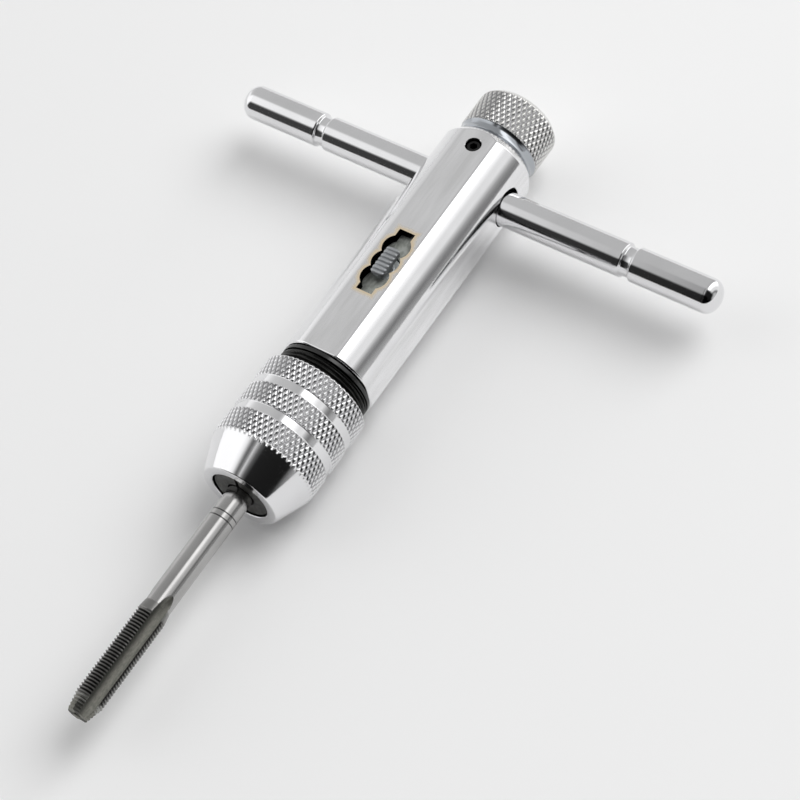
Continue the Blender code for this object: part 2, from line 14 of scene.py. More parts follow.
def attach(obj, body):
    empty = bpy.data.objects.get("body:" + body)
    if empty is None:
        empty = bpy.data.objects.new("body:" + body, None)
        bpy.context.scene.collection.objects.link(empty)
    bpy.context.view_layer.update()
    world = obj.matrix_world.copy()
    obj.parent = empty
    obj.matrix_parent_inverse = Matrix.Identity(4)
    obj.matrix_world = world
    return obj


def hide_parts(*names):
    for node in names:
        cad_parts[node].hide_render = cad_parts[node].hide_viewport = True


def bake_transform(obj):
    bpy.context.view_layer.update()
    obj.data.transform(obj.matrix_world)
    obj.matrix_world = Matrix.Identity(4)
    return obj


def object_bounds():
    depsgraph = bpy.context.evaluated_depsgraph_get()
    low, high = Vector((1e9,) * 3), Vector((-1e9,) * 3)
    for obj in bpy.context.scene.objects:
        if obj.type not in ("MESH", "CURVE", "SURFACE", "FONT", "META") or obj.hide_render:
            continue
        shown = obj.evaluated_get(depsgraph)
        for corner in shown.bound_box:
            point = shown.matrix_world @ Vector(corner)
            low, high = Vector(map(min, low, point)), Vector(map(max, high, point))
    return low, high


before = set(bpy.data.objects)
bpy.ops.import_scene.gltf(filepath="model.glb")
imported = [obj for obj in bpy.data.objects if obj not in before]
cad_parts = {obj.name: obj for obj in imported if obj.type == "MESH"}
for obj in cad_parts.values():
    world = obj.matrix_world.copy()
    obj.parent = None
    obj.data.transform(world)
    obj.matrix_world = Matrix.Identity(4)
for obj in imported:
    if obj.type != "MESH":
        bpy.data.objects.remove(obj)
CAD_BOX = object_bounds()

MM = 0.001
TURN = 2 * math.pi

# Housing
BODY_R = 11.25 * MM
FLAT_H = 10.5 * MM
AXIS_Z = FLAT_H
BODY_TOP_Y = 10.7 * MM
BODY_CHAMFER_Y = 8.5 * MM
BODY_TOP_R = 9.75 * MM
BODY_END_Y = -55.3 * MM
BODY_LIP = 0.5 * MM
EDGE_SHARPNESS = 170          # exponent of the blend between the flats and the round
CAVITY_TOP_Y = -11.5 * MM
CAVITY_R = 6.3 * MM
CHANNEL_R = 8.85 * MM
CHANNEL_HALF_W = 5.7 * MM
JOURNAL_STEP_Y = -47.3 * MM
JOURNAL_BORE_R = 8.95 * MM
PILOT_BORE_R = 2.6 * MM
PILOT_BORE_TOP_Y = -8.2 * MM
STEM_BORE_R = 4.6 * MM
GRUB_Y = 5.5 * MM
GRUB_HOLE_R = 1.8 * MM

# T bar
BAR_R = 4.0 * MM
BAR_LENGTH = 123.6 * MM
BAR_OFFSET = 2.4 * MM
BAR_DOME = 3.0 * MM
GROOVE_FROM_END = 21.9 * MM
GROOVE_DEPTH = 0.6 * MM
GROOVE_HALF_W = 1.3 * MM
BAR_HOLE_R = 4.55 * MM
BAR_HOLE_Y = 0.4 * MM

# Knurls: two crossing families of grooves
KNURL_DEPTH = 0.30 * MM
KNURL_PERIOD_Y = 2.36 * MM
KNURL_FLAT = 0.30             # share of each pyramid that is left flat
KNURL_SAMPLES = 12            # mesh samples for each groove

# Knob
KNOB_R = 9.85 * MM
KNOB_NECK_R = 9.5 * MM
KNOB_WAIST_R = 9.25 * MM
KNOB_TOP_Y = 22.9 * MM
KNOB_TOP_R = 8.85 * MM
KNOB_CHAMFER_Y = 21.75 * MM
KNURL_LOW_Y = 13.5 * MM
KNOB_LOW_Y = 11.0 * MM
KNOB_GROOVES = 45
STEM_R = 4.3 * MM
STEM_END_Y = 7.9 * MM

# Selector
WINDOW_Y = (-38.1 * MM, -21.2 * MM)
WINDOW_HALF_W = 1.75 * MM
DETENT_R = 3.0 * MM
DETENT_PITCH = 4.3 * MM
SELECTOR_Y = -29.8 * MM
SLIDE_Y = (-42.6 * MM, -16.7 * MM)
SLIDE_OUTER_R = 8.6 * MM
SLIDE_INNER_R = 5.0 * MM
SLIDE_HALF_W = 5.5 * MM
SLIDE_LOW_Z = 2.5 * MM
POCKET_R = 3.05 * MM
POCKET_FLOOR_Z = 6.0 * MM
COLLAR_R = 2.85 * MM
COLLAR_Z = (7.3 * MM, 8.15 * MM)
BUTTON_NECK_R = 1.5 * MM
BUTTON_NECK_TOP_Z = 9.95 * MM
BUTTON_Z = (9.75 * MM, 11.2 * MM)
BUTTON_HALF_W = 1.6 * MM
BUTTON_HALF_L = 3.9 * MM
RIB_PITCH = 1.1 * MM
RIB_DEPTH = 0.42 * MM
PAD_CROWN = 0.16 * MM
PAD_END_FALL = 0.25 * MM
PAWL_Y = (-20.4 * MM, -38.9 * MM)
PAWL_ROOM_HALF_W = 1.9 * MM
PAWL_ROOM_HALF_L = 2.5 * MM
PAWL_ROOM_TOP_Z = 8.0 * MM

# Spindle
GEAR_TEETH = 12
GEAR_TIP_R = 4.6 * MM
GEAR_ROOT_R = 3.6 * MM
GEAR_Y = (-40.6 * MM, -18.7 * MM)
SHAFT_R = 3.3 * MM
PILOT_R = 2.3 * MM
PILOT_TOP_Y = -8.6 * MM
JOURNAL_R = 8.75 * MM
JOURNAL_TOP_Y = -47.6 * MM
RING_GROOVE_Y = -51.5 * MM
RING_GROOVE_HALF_W = 0.65 * MM
RING_GROOVE_OUTER_R = JOURNAL_BORE_R + 0.45 * MM
RING_GROOVE_INNER_R = JOURNAL_R - 0.95 * MM
NECK_R = 10.9 * MM
NECK_TOP_Y = -56.8 * MM
NECK_LOW_Y = -63.2 * MM
NECK_PITCH = 1.0 * MM
NECK_THREAD_DEPTH = 0.55 * MM
WASHER_R = (10.9 * MM, 9.1 * MM)
WASHER_Y = (-55.6 * MM, -56.5 * MM)
BARREL_R = 9.3 * MM
BARREL_END_Y = -76.8 * MM
SLOT_HALF_W = 4.3 * MM
SLOT_TOP_Y = -70.6 * MM
SHANK_BORE_R = 4.0 * MM

# Chuck sleeve
SLEEVE_R = 12.5 * MM
SLEEVE_TOP_Y = -59.8 * MM
SLEEVE_GROOVES = 57
# The plain bands between the knurls: high edge, low edge, radius, and how far each side slopes
SLEEVE_BANDS = ((-65.2 * MM, -67.4 * MM, 12.2 * MM, 0.1 * MM), (-72.2 * MM, -74.6 * MM, 11.95 * MM, 0.2 * MM))
CONE_TOP_Y = -79.9 * MM
CONE_BULGE = 0.14 * MM
NOSE_Y = -88.6 * MM
NOSE_R = 9.1 * MM
NOSE_HOLE_R = 6.86 * MM
CONE_SLOPE = 0.39                # of the cone that closes the jaws, radius over height
SLEEVE_BORE_R = 9.65 * MM
SLEEVE_THREAD_R = 11.2 * MM
SLEEVE_THREAD_LOW_Y = -64.5 * MM
BARREL_GROOVE_R = 10.6 * MM
O_RING_Y = -69.6 * MM
O_RING_HALF_W = 0.62 * MM

# Jaws
JAW_NOSE_Y = -88.1 * MM
JAW_NOSE_R = 6.6 * MM
JAW_R = 8.3 * MM
JAW_BACK_Y = -77.1 * MM
JAW_TAIL_Y = -71.0 * MM
JAW_TAIL_R = 8.0 * MM
JAW_TAIL_HALF_W = 4.0 * MM
JAW_SLIT = 0.4 * MM              # from the middle plane to each jaw
JAW_SQUARE = 5.5 * MM
JAW_SHANK_R = 3.3 * MM
JAW_SHANK_TOP_Y = -85.7 * MM
JAW_PLAIN_Y = -87.0 * MM         # below this the jaws meet the shank with no notch
JAW_SPRING_Y = -80.5 * MM
JAW_SPRING_Z = 5.6 * MM

# Tap, M7 x 0.75
TAP_R = 3.5 * MM
TAP_PITCH = 0.75 * MM
TAP_THREAD_DEPTH = 0.45 * MM
SHANK_R = 3.0 * MM
TAP_TAIL_Y = -78.1 * MM
TAP_SQUARE = 4.9 * MM
SQUARE_LOW_Y = -86.0 * MM
THREAD_TOP_Y = -118.8 * MM
FULL_THREAD_Y = -121.0 * MM      # above this the blank tapers from the shank
LEAD_Y = -142.4 * MM
TAP_RINGS_Y = (-94.2 * MM, -95.6 * MM)   # plain ring marks
TAP_RING_DEPTH = 0.06 * MM
TAP_TIP_Y = -146.1 * MM
TAP_TIP_R = 2.45 * MM
FLUTE_R = 1.8 * MM
FLUTE_OFFSET = 3.75 * MM
FLUTE_FULL_Y = -120.6 * MM       # the flutes run out above this
FLUTE_CUTTER_R = 13.0 * MM
FLUTE_TOP_Y = -114.0 * MM
FLUTE_ANGLES = (51.5, 171.5, 291.5)   # degrees from +Z towards +X


# Mesh helpers

def at(x, y, z):
    """A world point from its place relative to the body axis."""
    return Vector((x, y, z + AXIS_Z))


def linked(name, data):
    obj = bpy.data.objects.new(name, data)
    bpy.context.scene.collection.objects.link(obj)
    return obj


def new_piece(name, points, faces, middle=(0, 0, 0)):
    """A mesh object whose faces are turned to face out."""
    mesh = bpy.data.meshes.new(name)
    place = np.asarray(points, float) + np.array(at(*middle))
    mesh.from_pydata(place.tolist(), [], faces)
    mesh.update()
    mesh.calc_loop_triangles()
    corners = np.empty(len(mesh.loop_triangles) * 3, np.int32)
    mesh.loop_triangles.foreach_get("vertices", corners)
    a, b, c = (place[corners[i::3]] for i in range(3))
    if np.einsum("ij,ij->i", a, np.cross(b, c)).sum() < 0:
        mesh.flip_normals()
    return linked(name, mesh)


def ordered(axis, height, side, up):
    """Three coordinates, with the height along the axis."""
    return {"X": (height, side, up), "Y": (side, height, up), "Z": (side, up, height)}[axis]


def laid(radius, angle, height, axis):
    """Points on a turned surface about one axis."""
    side, up = radius * np.sin(angle), radius * np.cos(angle)
    return np.stack(ordered(axis, np.broadcast_to(height, side.shape), side, up), -1)


def lathe(name, path, steps=128, axis="Y", middle=(0, 0, 0), relief=None, ring=False):
    """A turned solid. The path holds (radius, height) from the top down the outside."""
    angle = np.arange(steps) * TURN / steps
    points, starts, sizes = [], [], []
    for radius, height in path:
        starts.append(sum(sizes))
        if radius == 0:
            points.append(laid(np.zeros(1), np.zeros(1), height, axis))
            sizes.append(1)
            continue
        around = np.full(steps, radius)
        if relief:
            around = relief(angle, around, height)
        points.append(laid(around, angle, height, axis))
        sizes.append(steps)
    faces = []
    pairs = list(zip(range(len(path) - 1), range(1, len(path))))
    if ring:
        pairs.append((len(path) - 1, 0))
    for upper, lower in pairs:
        for j in range(steps):
            k = (j + 1) % steps
            corners = [starts[upper] + (j if sizes[upper] > 1 else 0),
                       starts[lower] + (j if sizes[lower] > 1 else 0)]
            if sizes[lower] > 1:
                corners.append(starts[lower] + k)
            if sizes[upper] > 1:
                corners.append(starts[upper] + k)
            faces.append(corners)
    return new_piece(name, np.concatenate(points), faces, middle)


def soften(path, radius, ring=False, count=4):
    """The same profile with its corners rounded."""
    points = [np.array(p, float) for p in path]
    out = []
    last = len(points) - 1
    for i, here in enumerate(points):
        if not ring and i in (0, last):
            out.append(tuple(here))
            continue
        before, after = points[i - 1], points[(i + 1) % len(points)]
        to_before, to_after = before - here, after - here
        reach = min(radius, 0.45 * np.linalg.norm(to_before), 0.45 * np.linalg.norm(to_after))
        start = here + to_before / np.linalg.norm(to_before) * reach
        end = here + to_after / np.linalg.norm(to_after) * reach
        for step in range(count + 1):
            t = step / count
            point = (1 - t) ** 2 * start + 2 * t * (1 - t) * here + t ** 2 * end
            out.append((max(float(point[0]), 1e-6), float(point[1])))
    return out


def prism(name, outline, low, high, axis="Y", middle=(0, 0, 0)):
    """A flat outline extruded along an axis. The outline holds (side, up)."""
    count = len(outline)
    points = [ordered(axis, height, side, up) for height in (low, high) for side, up in outline]
    faces = [list(range(count))[::-1], list(range(count, 2 * count))]
    for i in range(count):
        j = (i + 1) % count
        faces.append([i, j, j + count, i + count])
    return new_piece(name, points, faces, middle)


def block(name, low, high, spin=None):
    """A cutter between two corners, given relative to the body axis."""
    outline = [(low[0], low[2]), (high[0], low[2]), (high[0], high[2]), (low[0], high[2])]
    if spin:
        outline = [(x * math.cos(spin) + z * math.sin(spin), z * math.cos(spin) - x * math.sin(spin))
                   for x, z in outline]
    return prism(name, outline, low[1], high[1])


def bore(name, radius, low, high, axis="Y", middle=(0, 0, 0), steps=96):
    return lathe(name, [(0, high), (radius, high), (radius, low), (0, low)], steps, axis, middle)


def carve(obj, cutters, operation="DIFFERENCE"):
    """Applies Booleans for good, and removes the cutters."""
    for cutter in cutters:
        boolean = obj.modifiers.new(cutter.name, "BOOLEAN")
        boolean.object = cutter
        boolean.operation = operation
        boolean.solver = "EXACT"
    bake(obj)
    for cutter in cutters:
        bpy.data.objects.remove(cutter)


def bake(obj):
    bpy.context.view_layer.update()
    done = bpy.data.meshes.new_from_object(obj.evaluated_get(bpy.context.evaluated_depsgraph_get()))
    obj.modifiers.clear()
    obj.data = done


def join(name, pieces):
    """One object from several closed shells."""
    points, faces, start = [], [], 0
    for piece in pieces:
        mesh = piece.data
        points += [tuple(v.co) for v in mesh.vertices]
        faces += [[start + i for i in polygon.vertices] for polygon in mesh.polygons]
        start += len(mesh.vertices)
    mesh = bpy.data.meshes.new(name)
    mesh.from_pydata(points, [], faces)
    for piece in pieces:
        bpy.data.objects.remove(piece)
    return linked(name, mesh)


def present(obj, body, node, material, sharp=38.0, weighted=True):
    """Shades a finished piece, hides its CAD node and, if a body is given, hands it to the frame."""
    obj.data.shade_smooth()
    obj.data.set_sharp_from_angle(angle=math.radians(sharp))
    obj.data.materials.clear()
    obj.data.materials.append(material)
    if weighted:
        normals = obj.modifiers.new("Normals", "WEIGHTED_NORMAL")
        normals.keep_sharp = True
        normals.weight = 90
    if body:
        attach(obj, body)
    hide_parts(node)
    return obj


# Materials

class Tree:
    """A small builder for a node tree."""

    def __init__(self, owner):
        owner.use_nodes = True
        self.tree = owner.node_tree

    def add(self, kind, **values):
        node = self.tree.nodes.new(kind)
        for key, value in values.items():
            setattr(node, key, value)
        return node

    def link(self, source, target):
        self.tree.links.new(source, target)

    def put(self, socket, value):
        if isinstance(value, bpy.types.NodeSocket):
            self.link(value, socket)
        else:
            socket.default_value = value

    def math(self, operation, a, b=0.0):
        node = self.add("ShaderNodeMath", operation=operation)
        self.put(node.inputs[0], a)
        self.put(node.inputs[1], b)
        return node.outputs[0]

    def span(self, value, low, high, to_low=0.0, to_high=1.0, smooth=False):
        node = self.add("ShaderNodeMapRange")
        if smooth:
            node.interpolation_type = "SMOOTHSTEP"
        self.put(node.inputs["Value"], value)
        for key, number in zip(("From Min", "From Max", "To Min", "To Max"), (low, high, to_low, to_high)):
            self.put(node.inputs[key], number)
        return node.outputs[0]

    def length(self, a, b):
        """The length of the two together."""
        squares = self.math("ADD", self.math("MULTIPLY", a, a), self.math("MULTIPLY", b, b))
        return self.math("SQRT", squares)

    def parts(self, vector):
        node = self.add("ShaderNodeSeparateXYZ")
        self.link(vector, node.inputs[0])
        return node.outputs


class Nodes(Tree):
    """A small builder for one material."""

    def __init__(self, name):
        self.material = bpy.data.materials.new(name)
        super().__init__(self.material)
        self.shader = self.tree.nodes["Principled BSDF"]
        self.place = self.add("ShaderNodeTexCoord").outputs["Object"]

    def noise(self, scale, detail=3.0, stretch=(1, 1, 1)):
        mapping = self.add("ShaderNodeMapping")
        mapping.inputs["Scale"].default_value = stretch
        self.link(self.place, mapping.inputs["Vector"])
        noise = self.add("ShaderNodeTexNoise")
        noise.inputs["Scale"].default_value = scale
        noise.inputs["Detail"].default_value = detail
        self.link(mapping.outputs[0], noise.inputs["Vector"])
        return noise.outputs["Fac"]

    def mix(self, factor, a, b):
        node = self.add("ShaderNodeMix", data_type="RGBA")
        self.put(node.inputs["Factor"], factor)
        for socket, value in ((node.inputs[6], a), (node.inputs[7], b)):
            self.put(socket, (*value, 1.0) if isinstance(value, tuple) else value)
        return node.outputs[2]

    def bump(self, height, distance, strength=1.0):
        node = self.add("ShaderNodeBump")
        node.inputs["Strength"].default_value = strength
        node.inputs["Distance"].default_value = distance
        self.link(height, node.inputs["Height"])
        return node.outputs[0]

    def from_axis(self, x, z):
        """Distance from the body axis."""
        return self.length(x, self.math("SUBTRACT", z, AXIS_Z))

    def fed(self, name):
        """What feeds one of the shader's inputs so far."""
        return self.shader.inputs[name].links[0].from_socket

    def feed(self, name, source):
        self.link(source, self.shader.inputs[name])

    def axis_parts(self):
        return self.parts(self.place)


# Stretches that draw noise out into marks along or around one axis
GRAIN_ALONG_X = (0.03, 1.0, 1.0)
GRAIN_ALONG_Y = (1.0, 0.03, 1.0)
MARKS_AROUND_Y = (0.05, 1.0, 0.05)
MARKS_AROUND_X = (1.0, 0.05, 0.05)
EVEN = (1.0, 1.0, 1.0)


def metal(name, colour, roughness, grain=EVEN, grain_scale=1500.0, grain_depth=0.002 * MM,
          spread=0.06, stain=0.08, metallic=1.0):
    """Bare or plated metal: fine directional marks, smudges and slow changes of tone."""
    nodes = Nodes(name)
    nodes.shader.inputs["Metallic"].default_value = metallic
    marks = nodes.noise(grain_scale, 4.0, grain)
    smudge = nodes.noise(120.0, 4.0)
    darker = tuple(c * (1 - stain) for c in colour)
    nodes.feed("Base Color", nodes.mix(nodes.span(smudge, 0.35, 0.7), colour, darker))
    varied = nodes.span(marks, 0.3, 0.7, roughness - spread, roughness + spread)
    patchy = nodes.span(smudge, 0.3, 0.75, 0.0, spread)
    nodes.feed("Roughness", nodes.math("ADD", varied, patchy))
    nodes.feed("Normal", nodes.bump(marks, grain_depth))
    return nodes


CHROME = (0.84, 0.84, 0.85)
POLISH_DEPTH = 0.0006 * MM

# The stretches of y in which each look is knurled
KNURLED = {
    "chrome_knob_look": ((KNURL_LOW_Y, KNOB_CHAMFER_Y),),
    "chrome_sleeve_look": ((SLEEVE_BANDS[0][0], SLEEVE_TOP_Y - 0.4 * MM),
                           (SLEEVE_BANDS[1][0], SLEEVE_BANDS[0][1]), (CONE_TOP_Y, SLEEVE_BANDS[1][1])),
}


def chrome_housing():
    """Chrome with satin flats, worn tan plating around the window, and painted shade on the inner walls below
    the front flat.
    """
    nodes = metal("chrome_housing_look", CHROME, 0.10, GRAIN_ALONG_Y, 5000.0, POLISH_DEPTH, 0.03, 0.04)
    x, y, z = nodes.axis_parts()
    across = nodes.math("ABSOLUTE", x)
    gap = None
    for step in (-1, 0, 1):
        from_y = nodes.math("SUBTRACT", y, SELECTOR_Y + step * DETENT_PITCH)
        ring = nodes.math("SUBTRACT", nodes.length(x, from_y), DETENT_R)
        gap = ring if gap is None else nodes.math("MINIMUM", gap, ring)
    middle = (WINDOW_Y[0] + WINDOW_Y[1]) / 2
    half = (WINDOW_Y[1] - WINDOW_Y[0]) / 2
    along = nodes.math("SUBTRACT", nodes.math("ABSOLUTE", nodes.math("SUBTRACT", y, middle)), half)
    slot_gap = nodes.math("MAXIMUM", along, nodes.math("SUBTRACT", across, WINDOW_HALF_W))
    gap = nodes.math("MINIMUM", gap, slot_gap)
    ragged = nodes.math("MULTIPLY_ADD", nodes.noise(900.0), 1.0)
    ragged.node.inputs[1].default_value = 0.9 * MM
    ragged.node.inputs[2].default_value = -0.45 * MM
    near = nodes.span(nodes.math("ADD", gap, ragged), 0.35 * MM, 1.5 * MM, 1.0, 0.0, smooth=True)
    front = nodes.span(z, AXIS_Z + 8.9 * MM, AXIS_Z + 9.4 * MM)
    clear_edge = nodes.span(gap, 0.17 * MM, 0.23 * MM, 0.25, 1.0)
    worn = nodes.math("MULTIPLY", nodes.math("MULTIPLY", near, front), clear_edge)
    # Painted shade: the walls below the front flat, inside the window and the holes, are coloured near black.
    painted_recess_shade = nodes.span(z, AXIS_Z + FLAT_H - 0.30 * MM, AXIS_Z + FLAT_H - 0.70 * MM)
    for place, high, low in ((across, 3.95 * MM, 3.9 * MM), (y, 7.95 * MM, 7.9 * MM)):
        painted_recess_shade = nodes.math("MULTIPLY", painted_recess_shade, nodes.span(place, high, low))
    for place, low, high in ((z, AXIS_Z + 4.0 * MM, AXIS_Z + 4.1 * MM), (y, -50.1 * MM, -50.0 * MM)):
        painted_recess_shade = nodes.math("MULTIPLY", painted_recess_shade, nodes.span(place, low, high))
    facing = nodes.parts(nodes.add("ShaderNodeNewGeometry").outputs["True Normal"])
    sideways, upward = nodes.math("ABSOLUTE", facing[0]), nodes.math("ABSOLUTE", facing[2])
    on_flat = nodes.span(nodes.math("MAXIMUM", sideways, upward), 0.985, 0.998)
    streak = nodes.noise(420.0, 4.0, (1.0, 0.12, 1.0))
    satin = nodes.mix(nodes.span(streak, 0.35, 0.65), (0.97, 0.97, 0.98), (0.84, 0.84, 0.845))
    shown = nodes.mix(on_flat, nodes.fed("Base Color"), satin)
    shown = nodes.mix(nodes.math("MULTIPLY", worn, 0.8), shown, (0.95, 0.77, 0.50))
    nodes.feed("Base Color", nodes.mix(painted_recess_shade, shown, (0.045, 0.045, 0.04)))
    satin_rough = nodes.math("MULTIPLY", on_flat, nodes.span(streak, 0.3, 0.7, 0.07, 0.13))
    rough = nodes.math("ADD", nodes.fed("Roughness"), satin_rough)
    rough = nodes.math("ADD", rough, nodes.math("MULTIPLY", nodes.math("MAXIMUM", worn, painted_recess_shade), 0.2))
    nodes.feed("Roughness", rough)
    return nodes.material


def knurled_chrome(name, crest_r, tone, neck_y=None):
    """Chrome over a knurl, with painted shade down in the grooves, and on the neck below them if there is
    one.
    """
    nodes = metal(name, tone, 0.09, MARKS_AROUND_Y, 7000.0, POLISH_DEPTH, 0.03, 0.04)
    x, y, z = nodes.axis_parts()
    radius = nodes.from_axis(x, z)
    colour = nodes.fed("Base Color")
    # Painted shade: the bottoms of the knurl's grooves are coloured darker.
    band = nodes.span(radius, crest_r - 0.10 * MM, crest_r - 0.24 * MM)
    for height, up_to in KNURLED[name]:
        low = nodes.span(y, height - 0.02 * MM, height + 0.02 * MM)
        high = nodes.span(y, up_to + 0.02 * MM, up_to - 0.02 * MM)
        groove = nodes.math("MULTIPLY", band, nodes.math("MULTIPLY", low, high))
        colour = nodes.mix(nodes.math("MULTIPLY", groove, 0.8), colour, (0.24, 0.24, 0.25))
    if neck_y is not None:
        # Painted shade under the knurl: the neck is coloured a darker blue grey.
        painted_neck_shade = nodes.span(y, neck_y, neck_y - 0.15 * MM, 0.0, 0.8)
        colour = nodes.mix(painted_neck_shade, colour, (0.36, 0.39, 0.43))
    nodes.feed("Base Color", colour)
    return nodes.material


def tap_steel():
    """Ground shank with two ring marks, mottled grey flutes, painted shade in the thread roots and painted
    shade on one side of each flute.
    """
    nodes = metal("tap_steel_look", (0.46, 0.455, 0.45), 0.15, MARKS_AROUND_Y, 9000.0, POLISH_DEPTH,
                  0.03, 0.12)
    x, y, z = nodes.axis_parts()
    radius = nodes.from_axis(x, z)
    colour = nodes.fed("Base Color")
    rough = nodes.fed("Roughness")
    mottle = nodes.noise(2600.0, 6.0, (1.0, 0.45, 1.0))
    for ring_y in TAP_RINGS_Y:
        from_ring = nodes.math("ABSOLUTE", nodes.math("SUBTRACT", y, ring_y))
        colour = nodes.mix(nodes.span(from_ring, 0.16 * MM, 0.10 * MM, 0.0, 0.85), colour, (0.05, 0.05, 0.05))
    collar = nodes.span(y, THREAD_TOP_Y + 0.5 * MM, THREAD_TOP_Y + 0.3 * MM, 0.0, 0.6)
    colour = nodes.mix(collar, colour, (0.14, 0.14, 0.13))
    threads = nodes.span(y, FULL_THREAD_Y + 0.4 * MM, FULL_THREAD_Y, 0.0, 0.93)
    # Painted shade: the thread roots are coloured near black.
    painted_root_shade = nodes.span(radius, TAP_R - TAP_THREAD_DEPTH * 0.12, TAP_R - TAP_THREAD_DEPTH * 0.55)
    colour = nodes.mix(nodes.math("MULTIPLY", threads, painted_root_shade), colour, (0.03, 0.03, 0.028))
    lead = nodes.span(y, LEAD_Y + 0.3 * MM, LEAD_Y - 0.3 * MM, 0.0, 0.75)
    colour = nodes.mix(lead, colour, (0.42, 0.42, 0.40))
    flute = nodes.math("MULTIPLY", nodes.span(y, FLUTE_TOP_Y + 0.2 * MM, FLUTE_TOP_Y),
                       nodes.span(radius, SHANK_R - 0.02 * MM, SHANK_R - 0.10 * MM))
    matt = nodes.mix(nodes.span(mottle, 0.35, 0.68), (0.23, 0.23, 0.205), (0.33, 0.325, 0.29))
    # Painted shade: one side of each flute is coloured darker.
    turned = nodes.math("ARCTAN2", x, nodes.math("SUBTRACT", z, AXIS_Z))
    third = TURN / len(FLUTE_ANGLES)
    from_low = nodes.math("SUBTRACT", turned, math.radians(FLUTE_ANGLES[0]) - third / 2 - TURN)
    across = nodes.math("SUBTRACT", nodes.math("MODULO", from_low, third), third / 2)
    painted_flute_shade = nodes.span(across, math.radians(-24), math.radians(8), 0.8, 0.0, smooth=True)
    matt = nodes.mix(painted_flute_shade, matt, (0.06, 0.06, 0.055))
    nodes.feed("Base Color", nodes.mix(flute, colour, matt))
    dull = nodes.math("ADD", nodes.math("MULTIPLY", flute, 0.30), nodes.math("MULTIPLY", collar, 0.25))
    nodes.feed("Roughness", nodes.math("ADD", rough, dull))
    height = nodes.math("MULTIPLY", mottle, nodes.math("MAXIMUM", flute, collar))
    nodes.feed("Normal", nodes.bump(height, 0.03 * MM))
    return nodes.material


# Pieces

def flats(angle, radius, height):
    """Brings a turned radius in to the four flats, with a soft edge between them."""
    flat_h = FLAT_H
    if height < BODY_END_Y + BODY_LIP:
        flat_h = FLAT_H - (BODY_R - radius)
    turned = (angle + math.pi / 4) % (math.pi / 2) - math.pi / 4
    flat = flat_h / np.cos(turned)
    p = EDGE_SHARPNESS
    return BODY_R * ((radius / BODY_R) ** -p + (flat / BODY_R) ** -p) ** (-1 / p)


def window_outline(grow):
    """The selector window: three circles on a slot. All growths give the same number of points."""
    half_w, r = WINDOW_HALF_W + grow, DETENT_R + grow
    top, low = WINDOW_Y[1] + grow, WINDOW_Y[0] - grow
    side = [(half_w, low)]
    count = 14
    for step in (-1, 0, 1):
        middle = SELECTOR_Y + step * DETENT_PITCH
        reach = math.sqrt(r * r - half_w * half_w)
        waist = DETENT_PITCH / 2
        low_angle = -math.asin(min(reach, waist if step > -1 else reach) / r)
        high_angle = math.asin(min(reach, waist if step < 1 else reach) / r)
        for i in range(count + 1):
            a = low_angle + (high_angle - low_angle) * i / count
            side.append((r * math.cos(a), middle + r * math.sin(a)))
    side.append((half_w, top))
    return side + [(-x, y) for x, y in side[::-1]]


def window_cutter():
    deep, wide = 0.08 * MM, 0.20 * MM
    levels = [(7.5 * MM, 0.0), (FLAT_H - deep, 0.0), (FLAT_H + deep, wide * 2), (13 * MM, wide * 2)]
    outlines = [window_outline(grow) for _, grow in levels]
    count = len(outlines[0])
    points = [(x, y, z) for (z, _), outline in zip(levels, outlines) for x, y in outline]
    faces = [list(range(count)), list(range((len(levels) - 1) * count, len(levels) * count))[::-1]]
    for level in range(len(levels) - 1):
        start = level * count
        for i in range(count):
            j = (i + 1) % count
            faces.append([start + i, start + count + i, start + count + j, start + j])
    return new_piece("cut_window", points, faces)


def mouth(name, radius, low, high, face, axis, middle, chamfer=0.15 * MM):
    """A bore with a small chamfer where it comes out at a face height, at both ends if low is negative."""
    wide, past = radius + chamfer, face + 0.02 * MM
    upper = [(0, high), (wide, high), (wide, past), (radius, face - chamfer)]
    lower = [(radius, low), (0, low)]
    if low < 0:
        lower = [(radius, chamfer - face), (wide, -past), (wide, low), (0, low)]
    return lathe(name, upper + lower, 128, axis, middle)


def ring_groove(side_r, floor_r, middle=RING_GROOVE_Y, half_w=RING_GROOVE_HALF_W):
    """The profile of a square groove, from its high edge to its low one."""
    high, low = middle + half_w, middle - half_w
    return [(side_r, high), (floor_r, high), (floor_r, low), (side_r, low)]


